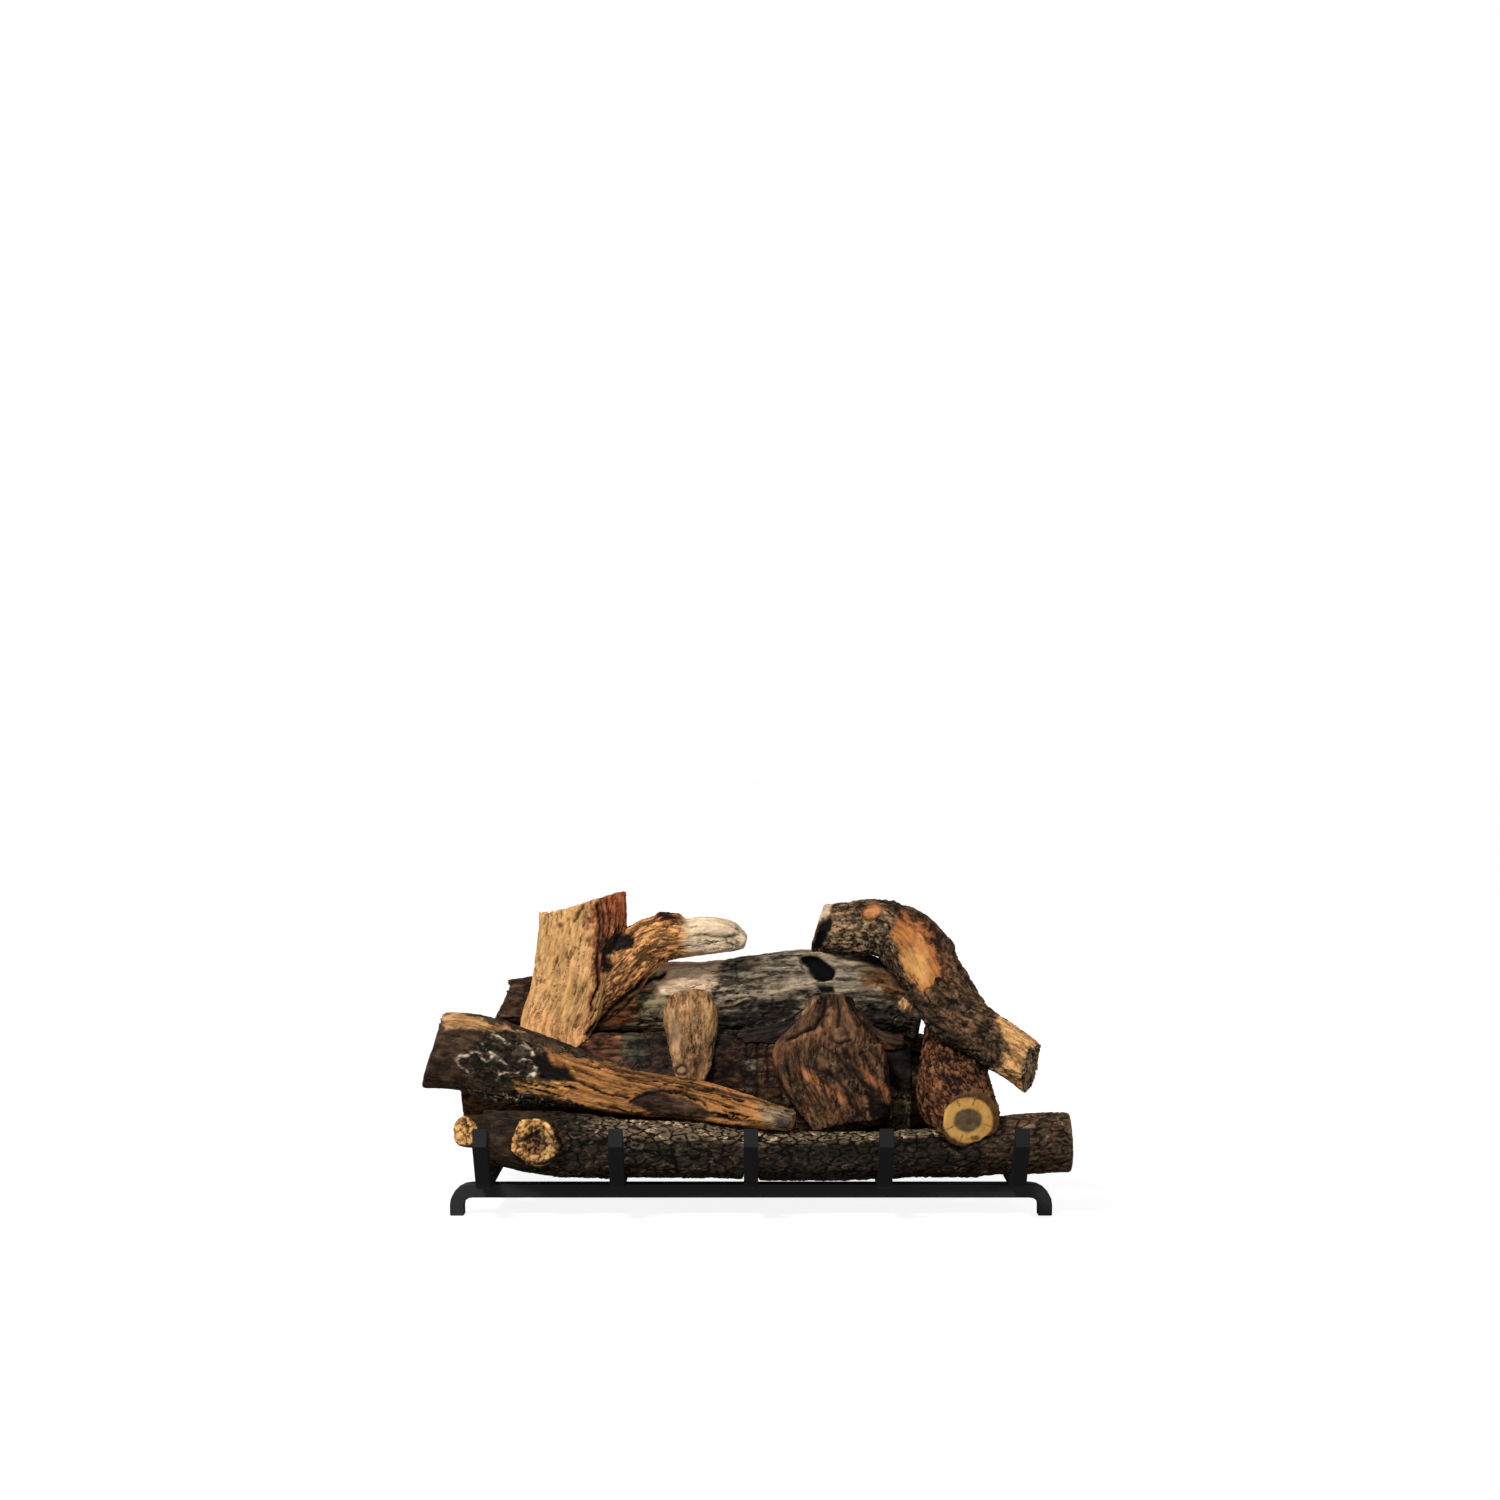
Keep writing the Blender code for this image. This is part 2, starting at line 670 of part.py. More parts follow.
def front_limb():
    """The front log and its two sawn branch stubs."""
    row_shares = [
        (0, 0, 0.47, 0.74, 0.79), (0.053, 0, 0.31, 0.92, 0.95), (0.137, 0, 0.14, 1.02, 1.06),
        (0.238, 0, 0.02, 0.99, 0.98), (0.374, 0, -0.02, 0.95, 0.93), (0.475, 0, -0.16, 0.90, 0.84),
        (0.593, 0, -0.22, 0.86, 0.80), (0.710, 0, -0.16, 0.84, 0.77), (0.811, 0, -0.03, 0.90, 0.85),
        (0.895, 0.03, 0.19, 0.96, 0.98), (1, 0.06, 0.27, 1.0, 1.0),
    ]
    start = Vector((FRONT_X, FRONT_Y, FRONT_Z))
    span = (FRONT_LENGTH, FRONT_RADIUS, FRONT_RADIUS)
    log = Limb(start, span, FRONT_RADIUS, row_shares, rings=34, sides=22, seed=3, rib_share=0.035)

    stub_start_shares = (0.115, 0.2, 0.31)
    stub_reach_shares = (-0.2, -1, 0.13)
    row_shares = [(0, 0, 0, 0.94, 0.94), (0.5, 0.5, 0.5, 0.97, 0.97), (1, 1, 1, 1, 1)]
    at = start + shared(span, stub_start_shares)
    reach = shared((STUB_REACH, STUB_REACH, STUB_REACH), stub_reach_shares)
    stub = Limb(at, reach, STUB_RADIUS, row_shares, rings=5, sides=14, seed=5)

    stub_start_shares = (0.012, 0, 0.58)
    stub_reach_shares = (-0.56, -1, 0.18)
    row_shares = [(0, 0, 0, 1, 1), (0.6, 0.6, 0.6, 1, 1), (1, 1, 1, 0.97, 0.97)]
    at = start + shared(span, stub_start_shares)
    reach = shared((SMALL_STUB_REACH, SMALL_STUB_REACH, SMALL_STUB_REACH), stub_reach_shares)
    small = Limb(at, reach, SMALL_STUB_RADIUS, row_shares, rings=5, sides=12, seed=8)
    return log, [stub, small]


def middle_limb():
    """The middle log."""
    row_shares = [
        (0, 0, -0.10, 0.50, 0.60), (0.08, 0, -0.05, 0.66, 0.82), (0.2, 0, 0, 0.76, 0.93),
        (0.35, 0, 0, 0.79, 0.98), (0.5, 0, 0.02, 0.80, 1.0), (0.65, -0.02, 0.02, 0.79, 1.0),
        (0.8, 0, 0, 0.78, 0.98), (0.92, 0, -0.03, 0.74, 0.92), (1, 0, -0.05, 0.68, 0.84),
    ]
    at = (MIDDLE_X, MIDDLE_Y, MIDDLE_Z)
    span = (MIDDLE_LENGTH, MIDDLE_RADIUS, MIDDLE_RADIUS)
    more = {"rings": 28, "sides": 24, "seed": 12, "square": 2.3, "lobe_share": 0.03}
    return Limb(at, span, MIDDLE_RADIUS, row_shares, **more)


def base_limb():
    """The rear base log."""
    row_shares = [
        (0, 0, -0.08, 0.80, 0.84), (0.12, 0, -0.03, 0.87, 0.93), (0.3, 0, 0, 0.91, 0.99),
        (0.5, 0.01, 0, 0.91, 1.0), (0.7, 0, 0, 0.90, 0.98), (0.88, 0, -0.03, 0.87, 0.94),
        (1, 0, -0.06, 0.80, 0.86),
    ]
    span = (BASE_LENGTH, BASE_RADIUS, BASE_RADIUS)
    more = {"rings": 22, "sides": 22, "seed": 21, "lobe_share": 0.025, "rib_share": 0.06}
    return Limb((BASE_X, BASE_Y, BASE_Z), span, BASE_RADIUS, row_shares, **more)


def rear_limb():
    """The rear log."""
    row_shares = [
        (0, 0, -0.12, 0.52, 0.56), (0.078, 0, -0.12, 0.64, 0.64), (0.258, 0, -0.04, 0.80, 0.80),
        (0.49, 0, 0, 0.86, 0.84), (0.607, 0, 0.02, 0.88, 0.92), (0.725, 0, 0.06, 0.90, 0.98),
        (0.848, 0, 0.05, 0.88, 0.93), (0.91, 0, -0.02, 0.84, 0.84), (1, 0, -0.14, 0.70, 0.68),
    ]
    span = (REAR_LENGTH, REAR_RADIUS, REAR_RADIUS)
    more = {"rings": 34, "sides": 28, "seed": 31, "lobe_share": 0.03, "rib_share": 0.055}
    more["slant_shares"] = ((0, 0.5), (0, 0))
    return Limb((REAR_X, REAR_Y, REAR_Z), span, REAR_RADIUS, row_shares, **more)


def burnt_hole():
    """The hollow burnt into the front of the rear log, as a cutter."""
    hole_shares = (0.76, -0.63, 0.74)
    outward = (0, *hole_shares[1:])
    at = Vector((REAR_X, REAR_Y, REAR_Z)) + shared((REAR_LENGTH, REAR_RADIUS, REAR_RADIUS), hole_shares)
    size = Matrix.Diagonal((HOLE_WIDTH / 2, HOLE_HEIGHT / 2, HOLE_DEPTH, 1))
    bm = bmesh.new()
    bmesh.ops.create_icosphere(bm, subdivisions=2, radius=1, matrix=size)
    turn = turn_to(outward, at) @ Matrix.Rotation(HOLE_TURN, 4, "Z")
    return place("burnt_hole", mesh_from(bm, "burnt_hole"), matrix=turn)


def split_limb():
    """The left split log."""
    row_shares = [
        (0, 0, -0.03, 0.78, 0.92), (0.10, 0, 0, 0.84, 0.98), (0.21, 0, 0.21, 0.86, 1.0),
        (0.317, 0.05, 0.32, 0.84, 0.90), (0.48, 0.20, 0.55, 0.80, 0.72), (0.588, 0.30, 0.66, 0.78, 0.64),
        (0.73, 0.47, 0.74, 0.72, 0.58), (0.88, 0.78, 0.89, 0.50, 0.45), (1, 1, 1, 0.34, 0.30),
    ]
    at = (SPLIT_X, SPLIT_Y, MIDDLE_Z + SPLIT_LIFT)
    span = (SPLIT_LENGTH, SPLIT_REACH, SPLIT_DROP)
    more = {"rings": 30, "sides": 22, "seed": 41, "lobe_share": 0.03, "rib_share": 0.04}
    more["flat_shares"] = ((55, 0.70, 0.30), (285, 0.80, 0.35))
    more["slant_shares"] = ((0, 0.32), (0, 0))
    return Limb(at, span, SPLIT_RADIUS, row_shares, **more)


def forked_limbs():
    """The forked log's trunk and its branch."""
    row_shares = [
        (0, 0, 0, 0.84, 1.0), (0.07, 0.18, 0.18, 0.84, 1.0), (0.46, 0.42, 0.40, 0.87, 1.0),
        (0.75, 0.66, 0.66, 0.93, 1.0), (1, 0.90, 0.87, 1.04, 0.95), (1, 1, 0.985, 1.04, 0.88),
    ]
    start = Vector((TRUNK_X, TRUNK_Y, MIDDLE_Z + MIDDLE_RADIUS - TRUNK_SINK))
    span = (TRUNK_DRIFT, TRUNK_LEAN, TRUNK_RISE)
    more = {"rings": 20, "sides": 26, "seed": 52, "lobe_share": 0.03, "end_share": 0.96}
    more["slant_shares"] = ((0, 0), (0.26, 0))
    upright = (0, -1, 0)
    trunk = Limb(start, span, TRUNK_WIDTH, row_shares, upright, 3.2, depth=TRUNK_DEPTH, **more)

    branch_start_shares = (0.82, 0.8, 0.26)
    row_shares = [
        (0, 0, 0, 0.66, 0.90), (0.16, 0.8, 0.37, 0.74, 1.20), (0.33, 1, 0.76, 0.76, 1.0),
        (0.48, 1, 0.98, 0.74, 0.92), (0.66, 0.6, 1.0, 0.68, 0.70), (0.84, 0.2, 1.02, 0.62, 0.60),
        (0.95, 0, 0.98, 0.48, 0.44), (1, 0, 0.95, 0.36, 0.26),
    ]
    at = start + shared(span, branch_start_shares)
    span = (BRANCH_LENGTH, BRANCH_DRIFT, BRANCH_RISE)
    more = {"rings": 20, "sides": 18, "seed": 57, "lobe_share": 0.04, "square": 2.6}
    return trunk, Limb(at, span, BRANCH_RADIUS, row_shares, **more)


def root_limbs():
    """The root log and its two arms."""
    row_shares = [
        (0, 0, 0, 0.70, 0.55), (0.19, 0.16, 0.17, 0.80, 0.85), (0.62, 0.34, 0.37, 0.92, 1.0),
        (1.02, 0.48, 0.55, 0.98, 1.0), (1, 0.66, 0.72, 0.74, 0.95), (1, 0.86, 0.85, 0.50, 0.84),
        (1, 1, 1, 0.37, 0.74),
    ]
    start = Vector((ROOT_X, ROOT_Y, MIDDLE_Z + MIDDLE_RADIUS - ROOT_SINK))
    span = (-ROOT_DRIFT, ROOT_LEAN, ROOT_RISE)
    more = {"rings": 22, "sides": 28, "seed": 61, "lobe_share": 0.05, "lobe_counts": (5, 7, 3)}
    root = Limb(start, span, ROOT_WIDTH, row_shares, (0, -1, 0), depth=ROOT_DEPTH, **more)

    top_shares = (1, 1.05, 0.83)
    top = start + shared(span, top_shares)
    aside = Vector((ROOT_ARM_RADIUS, 0, 0))
    row_shares = [
        (0, 0, 0, 1, 1.05), (0.3, 0.5, 0.66, 0.95, 0.85), (0.65, 0.9, 0.9, 0.85, 0.75), (1, 1, 1.05, 0.55, 0.5),
    ]
    span = (-LEFT_ARM_LENGTH, ARM_DRIFT, -ARM_DROP)
    left = Limb(top - aside, span, ROOT_ARM_RADIUS, row_shares, rings=10, sides=12, seed=66)
    row_shares = [
        (0, 0, 0, 1, 1.05), (0.35, 0.5, 0.78, 0.95, 0.85), (0.7, 0.9, 1, 0.85, 0.7), (1, 1, 1.05, 0.6, 0.55),
    ]
    span = (RIGHT_ARM_LENGTH, ARM_DRIFT, -ARM_DROP)
    right = Limb(top + aside, span, ROOT_ARM_RADIUS, row_shares, rings=8, sides=12, seed=67)
    return root, [left, right]


def chip_limb():
    """The wood chip."""
    row_shares = [
        (0, 0, 0, 0.40, 0.45), (0, 0.10, 0.10, 0.62, 0.75), (0, 0.24, 0.24, 0.74, 0.95),
        (0, 0.42, 0.42, 0.84, 1.0), (0, 0.60, 0.60, 0.98, 1.0), (0, 0.76, 0.76, 1.0, 0.9),
        (0, 0.90, 0.90, 0.88, 0.75), (-0.02, 1, 0.98, 0.56, 0.5),
    ]
    at = (CHIP_X, CHIP_Y, MIDDLE_Z + CHIP_LIFT)
    span = (CHIP_WIDTH, CHIP_LEAN, CHIP_RISE)
    more = {"rings": 16, "sides": 20, "seed": 71, "square": 2.4}
    return Limb(at, span, CHIP_WIDTH, row_shares, (0, -1, 0), depth=CHIP_THICKNESS, **more)


def short_limb():
    """The short round log."""
    row_shares = [
        (0, 0, 0, 0.84, 0.84), (0.12, 0.09, 0.09, 0.90, 0.90), (0.27, 0.2, 0.2, 0.98, 0.98),
        (0.33, 0.35, 0.35, 1.0, 1.0), (0.28, 0.55, 0.55, 0.92, 0.92), (0.18, 0.77, 0.77, 0.82, 0.82),
        (0.12, 1, 1, 0.74, 0.74),
    ]
    at = (SHORT_X, SHORT_Y, FRONT_Z + SHORT_LIFT)
    span = (-SHORT_RADIUS, SHORT_DEPTH, SHORT_RISE)
    more = {"rings": 22, "sides": 24, "seed": 83, "lobe_share": 0.022, "rib_share": 0.06}
    return Limb(at, span, SHORT_RADIUS, row_shares, **more)


def upper_limbs():
    """The upper right log, its knot and the stub of a twig."""
    row_shares = [
        (0, 0, 0, 0.78, 0.78), (0.165, 0.04, -0.01, 0.84, 0.84), (0.31, 0.12, -0.02, 0.90, 0.90),
        (0.42, 0.20, 0.06, 0.92, 0.92), (0.515, 0.31, 0.21, 0.93, 0.93), (0.60, 0.49, 0.42, 0.94, 0.94),
        (0.695, 0.73, 0.67, 0.90, 0.90), (0.84, 0.87, 0.82, 0.82, 0.82), (0.95, 0.97, 0.93, 0.78, 0.78),
        (1.02, 1.02, 1.01, 0.72, 0.72),
    ]
    start = Vector((UPPER_X, UPPER_Y, REAR_Z + UPPER_LIFT))
    span = (UPPER_LENGTH, UPPER_REACH, UPPER_DROP)
    more = {"rings": 34, "sides": 24, "seed": 94, "lobe_share": 0.03, "rib_share": 0.085}
    more["slant_shares"] = ((0, 0.35), (0, -0.5))
    log = Limb(start, span, UPPER_RADIUS, row_shares, **more)

    row_shares = [(0, 0, 0, 1, 1), (0.5, 0.5, 0.5, 1, 1), (1, 1, 1, 0.9, 0.7)]
    knot_start_shares = (0.27, 0.11, 0)
    knot_reach_shares = (0, -0.77, 0.64)
    at = start + shared(span, knot_start_shares)
    reach = shared((KNOT_REACH, KNOT_REACH, KNOT_REACH), knot_reach_shares)
    knot = Limb(at, reach, KNOT_RADIUS, row_shares, rings=5, sides=12, seed=95)
    twig_start_shares = (0.60, 0.49, 0.42)
    twig_reach_shares = (-0.85, -0.26, -0.46)
    at = start + shared(span, twig_start_shares)
    reach = shared((TWIG_REACH, TWIG_REACH, TWIG_REACH), twig_reach_shares)
    twig = Limb(at, reach, TWIG_RADIUS, row_shares, rings=5, sides=10, seed=96)
    return log, [knot, twig]


def make_screw(name, at, material):
    """A pan-head screw with a slot, its head's underside at the given place."""
    half = SCREW_HEAD / 2
    profile = [
        (0, SCREW_HEAD_HEIGHT), (half, SCREW_HEAD_HEIGHT), (SCREW_HEAD, SCREW_HEAD_HEIGHT / 2),
        (SCREW_HEAD, 0), (SCREW_RADIUS, 0), (SCREW_RADIUS, -SCREW_DEPTH), (0, -SCREW_DEPTH),
    ]
    screw = turned(name, profile, material, Matrix.Translation(at), SMALL_STEPS)
    slot = box_mesh("slot", (2 * SCREW_HEAD + OVERRUN, SLOT_WIDTH, SCREW_HEAD_HEIGHT))
    slot_at = Matrix.Translation(Vector(at) + Vector((0, 0, SCREW_HEAD_HEIGHT)))
    boolean(screw, place(name + "_slot", slot, matrix=slot_at))


def drill(obj_name, x, y, top, depth):
    """A screw hole down into a piece."""
    length = depth + OVERRUN
    hole = rod_mesh("hole", SCREW_RADIUS + GAP, length, SMALL_STEPS)
    at = Matrix.Translation((x, y, top + OVERRUN - length / 2))
    boolean(bpy.data.objects[obj_name], place(f"{obj_name}_hole", hole, matrix=at))


def make_burner():
    """The burner tube with its ports and air windows, shutter, cap, brackets and orifice."""
    steel = finish("burner_steel", (0.35, 0.34, 0.33), 0.45, 1.0)
    brass = finish("brass", (0.62, 0.45, 0.18), 0.35, 1.0)
    zinc = finish("screw_zinc", (0.5, 0.5, 0.5), 0.4, 1.0)
    length = TUBE_LENGTH
    centre = Vector(((TUBE_LEFT + TUBE_RIGHT) / 2, TUBE_Y, TUBE_Z))
    lying = turn_to((1, 0, 0), centre)
    inner = TUBE_RADIUS - TUBE_WALL
    wall = [(TUBE_RADIUS, length / 2), (TUBE_RADIUS, -length / 2), (inner, -length / 2), (inner, length / 2)]
    tube = turned("burner_tube", wall, steel, lying)
    ports = collection("ports")
    step = PORT_SPAN / (PORT_COUNT - 1)
    for i in range(PORT_COUNT):
        x = TUBE_LEFT + 2 * CAP_LENGTH + i * step
        port = box_mesh("port", (PORT_LENGTH, PORT_WIDTH, 2 * TUBE_WALL + OVERRUN))
        port_at = Matrix.Translation((x, TUBE_Y, TUBE_Z + TUBE_RADIUS))
        place(f"port_{i + 1}", port, where=ports, matrix=port_at)
    boolean(tube, ports)
    window_x = TUBE_RIGHT - MIXER_INSET
    windows = box_mesh("windows", (WINDOW_LENGTH, 2 * TUBE_RADIUS + 2 * OVERRUN, WINDOW_WIDTH))
    window = place("mixer_windows", windows, matrix=Matrix.Translation((window_x, TUBE_Y, TUBE_Z)))
    boolean(tube, window)
    sleeve_in = TUBE_RADIUS + GAP
    sleeve_out = sleeve_in + SHUTTER_WALL
    half = SHUTTER_LENGTH / 2
    sleeve = [(sleeve_out, half), (sleeve_out, -half), (sleeve_in, -half), (sleeve_in, half)]
    shutter = turned("air_shutter", sleeve, steel, turn_to((1, 0, 0), (window_x, TUBE_Y, TUBE_Z)))
    boolean(shutter, window)

    cap_in = TUBE_RADIUS + GAP
    cap_out = cap_in + CAP_WALL
    cap = [
        (0, CAP_WALL), (cap_out, CAP_WALL), (cap_out, CAP_WALL - CAP_LENGTH),
        (cap_in, CAP_WALL - CAP_LENGTH), (cap_in, 0), (0, 0),
    ]
    at = turn_to((-1, 0, 0), (TUBE_LEFT - GAP, TUBE_Y, TUBE_Z))
    turned("burner_end_cap", cap, steel, at)

    cradle_top = TUBE_Z - TUBE_RADIUS / 3
    height = cradle_top - SEAT
    for i, x in enumerate((BAR_XS[1], BAR_XS[3])):
        name = f"burner_bracket_{('left', 'right')[i]}"
        block = box_mesh("bracket", (BRACKET_LENGTH, BRACKET_DEPTH, height))
        y = TUBE_Y + BRACKET_DEPTH / 2 - TUBE_RADIUS - TUBE_WALL
        bracket = place(name, block, steel, matrix=Matrix.Translation((x, y, SEAT + height / 2)))
        cradle = rod_mesh("cradle", TUBE_RADIUS + GAP, BRACKET_LENGTH + OVERRUN, 2 * SMALL_STEPS)
        boolean(bracket, place(f"{name}_cradle", cradle, matrix=turn_to((1, 0, 0), (x, TUBE_Y, TUBE_Z))))
        rear = TUBE_Y + TUBE_RADIUS + GAP
        tread = y + BRACKET_DEPTH / 2 - rear
        shelf = box_mesh("shelf", (BRACKET_LENGTH + OVERRUN, tread + OVERRUN, height))
        shelf_at = (x, rear + (tread + OVERRUN) / 2, SEAT + BRACKET_FOOT + height / 2)
        boolean(bracket, place(f"{name}_shelf", shelf, matrix=Matrix.Translation(shelf_at)))
        screw_y = rear + tread / 2
        drill(name, x, screw_y, SEAT + BRACKET_FOOT, BRACKET_FOOT + OVERRUN)
        drill(f"grate_bar_{(2, 4)[i]}", x, screw_y, BAR_TOP, SCREW_DEPTH)
        make_screw(f"bracket_screw_{i + 1}", (x, screw_y, SEAT + BRACKET_FOOT + GAP), zinc)

    hexagon = rod_mesh("hexagon", ORIFICE_HEX / math.cos(math.pi / 6), ORIFICE_LENGTH - ORIFICE_PLUG, 6)
    hex_x = TUBE_RIGHT + GAP + (ORIFICE_LENGTH - ORIFICE_PLUG) / 2
    orifice = place("orifice_fitting", hexagon, brass, matrix=turn_to((1, 0, 0), (hex_x, TUBE_Y, TUBE_Z)))
    plug = rod_mesh("plug", inner - GAP, ORIFICE_PLUG + OVERRUN)
    plug_x = TUBE_RIGHT + GAP - (ORIFICE_PLUG - OVERRUN) / 2
    plug_at = turn_to((1, 0, 0), (plug_x, TUBE_Y, TUBE_Z))
    boolean(orifice, place("orifice_plug", plug, matrix=plug_at), "UNION")
    jet = rod_mesh("jet", ORIFICE_BORE, 2 * ORIFICE_LENGTH + OVERRUN, SMALL_STEPS)
    boolean(orifice, place("orifice_jet", jet, matrix=turn_to((1, 0, 0), (hex_x, TUBE_Y, TUBE_Z))))
    return steel, brass, zinc


def make_valve(steel, brass, zinc):
    """The safety valve on its plate, with spindle, knob, inlet and the supply tube."""
    cast = finish("valve_cast", (0.45, 0.45, 0.44), 0.5, 0.9)
    black = finish("knob_black", (0.02, 0.02, 0.02), 0.4)
    left_bar, right_bar = BAR_XS[3], BAR_XS[4]
    plate_x = (left_bar + right_bar) / 2
    plate_size = (right_bar - left_bar + BAR_SIDE, PLATE_DEPTH, PLATE_THICKNESS)
    plate_at = Matrix.Translation((plate_x, VALVE_Y, SEAT + PLATE_THICKNESS / 2))
    place("valve_bracket", box_mesh("plate", plate_size), steel, matrix=plate_at)
    for i, x in enumerate((left_bar, right_bar)):
        plate_top = SEAT + PLATE_THICKNESS
        screw_y = VALVE_Y - PLATE_DEPTH / 4
        drill("valve_bracket", x, screw_y, plate_top, PLATE_THICKNESS + OVERRUN)
        drill(f"grate_bar_{i + 4}", x, screw_y, BAR_TOP, SCREW_DEPTH)
        make_screw(f"valve_screw_{i + 1}", (x, screw_y, plate_top + GAP), zinc)

    block = box_mesh("valve", (VALVE_LENGTH, VALVE_DEPTH, VALVE_HEIGHT))
    body = place("valve_body", block, cast, matrix=Matrix.Translation((VALVE_X, VALVE_Y, VALVE_Z)))
    bevel(body, VALVE_EDGE, 2)
    boss = rod_mesh("boss", BOSS_RADIUS, BOSS_LENGTH + OVERRUN)
    boss_x = VALVE_RIGHT + (BOSS_LENGTH - OVERRUN) / 2
    boss_at = turn_to((1, 0, 0), (boss_x, VALVE_Y, VALVE_Z))
    boolean(body, place("valve_boss", boss, matrix=boss_at), "UNION")
    bore_depth = SPINDLE_GRIP + BOSS_LENGTH
    boss_face = VALVE_RIGHT + BOSS_LENGTH
    bore = rod_mesh("bore", SPINDLE_RADIUS + SPINDLE_FIT, bore_depth + OVERRUN)
    bore_x = boss_face + OVERRUN - (bore_depth + OVERRUN) / 2
    boolean(body, place("valve_bore", bore, matrix=turn_to((1, 0, 0), (bore_x, VALVE_Y, VALVE_Z))))

    spindle_start = boss_face - bore_depth + GAP
    spindle = [(0, SPINDLE_LENGTH), (SPINDLE_RADIUS, SPINDLE_LENGTH), (SPINDLE_RADIUS, 0), (0, 0)]
    turned("valve_spindle", spindle, steel, turn_to((1, 0, 0), (spindle_start, VALVE_Y, VALVE_Z)))

    knob_back = boss_face + KNOB_TRAVEL + 2 * GAP
    outline = []
    for i in range(KNOB_LOBES * 4):
        angle = math.tau * i / (KNOB_LOBES * 4)
        radius = KNOB_RADIUS + KNOB_LOBE_DEPTH * (math.cos(KNOB_LOBES * angle) - 1) / 2
        outline.append((radius * math.cos(angle), radius * math.sin(angle)))
    knob_at = turn_to((1, 0, 0), (knob_back + KNOB_LENGTH / 2, VALVE_Y, VALVE_Z))
    knob = place("control_knob", flat_mesh("knob", outline, KNOB_LENGTH), black, matrix=knob_at)
    hub = rod_mesh("hub", SPINDLE_RADIUS + SPINDLE_FIT, KNOB_LENGTH)
    hub_x = knob_back - KNOB_WALL + KNOB_LENGTH / 2
    boolean(knob, place("knob_hub", hub, matrix=turn_to((1, 0, 0), (hub_x, VALVE_Y, VALVE_Z))))
    pointer = box_mesh("pointer", (2 * POINTER_HEIGHT, POINTER_WIDTH, POINTER_LENGTH))
    pointer_at = (knob_back + KNOB_LENGTH, VALVE_Y, VALVE_Z + POINTER_OFFSET)
    boolean(knob, place("knob_pointer", pointer, matrix=Matrix.Translation(pointer_at)), "UNION")

    inlet_y = VALVE_Y + VALVE_DEPTH / 2 + GAP
    hex_length = INLET_LENGTH * INLET_HEX_SHARE
    hex_mesh = rod_mesh("inlet_hex", INLET_CORNER, hex_length, 6)
    hex_at = turn_to((0, 1, 0), (INLET_X, inlet_y + hex_length / 2, VALVE_Z))
    inlet = place("gas_inlet_fitting", hex_mesh, brass, matrix=hex_at)
    neck = rod_mesh("inlet_neck", INLET_NECK, INLET_LENGTH)
    neck_at = turn_to((0, 1, 0), (INLET_X, inlet_y + INLET_LENGTH / 2, VALVE_Z))
    boolean(inlet, place("inlet_neck", neck, matrix=neck_at), "UNION")
    way = rod_mesh("inlet_way", INLET_BORE, INLET_LENGTH + 2 * OVERRUN, SMALL_STEPS)
    boolean(inlet, place("inlet_way", way, matrix=neck_at))

    start = Vector((TUBE_RIGHT + ORIFICE_LENGTH - ORIFICE_PLUG + 2 * GAP, TUBE_Y, TUBE_Z))
    end = Vector((VALVE_X, VALVE_FRONT - GAP, VALVE_Z))
    route_shares = [(0, 0, 0), (0.45, 0, 0), (0.88, 0.12, 0), (1, 0.45, 1), (1, 0.8, 1), (1, 1, 1)]
    route = [start + shared(end - start, shares) for shares in route_shares]
    place("supply_tube", tube_mesh("supply_tube", route, SUPPLY_RADIUS), brass)


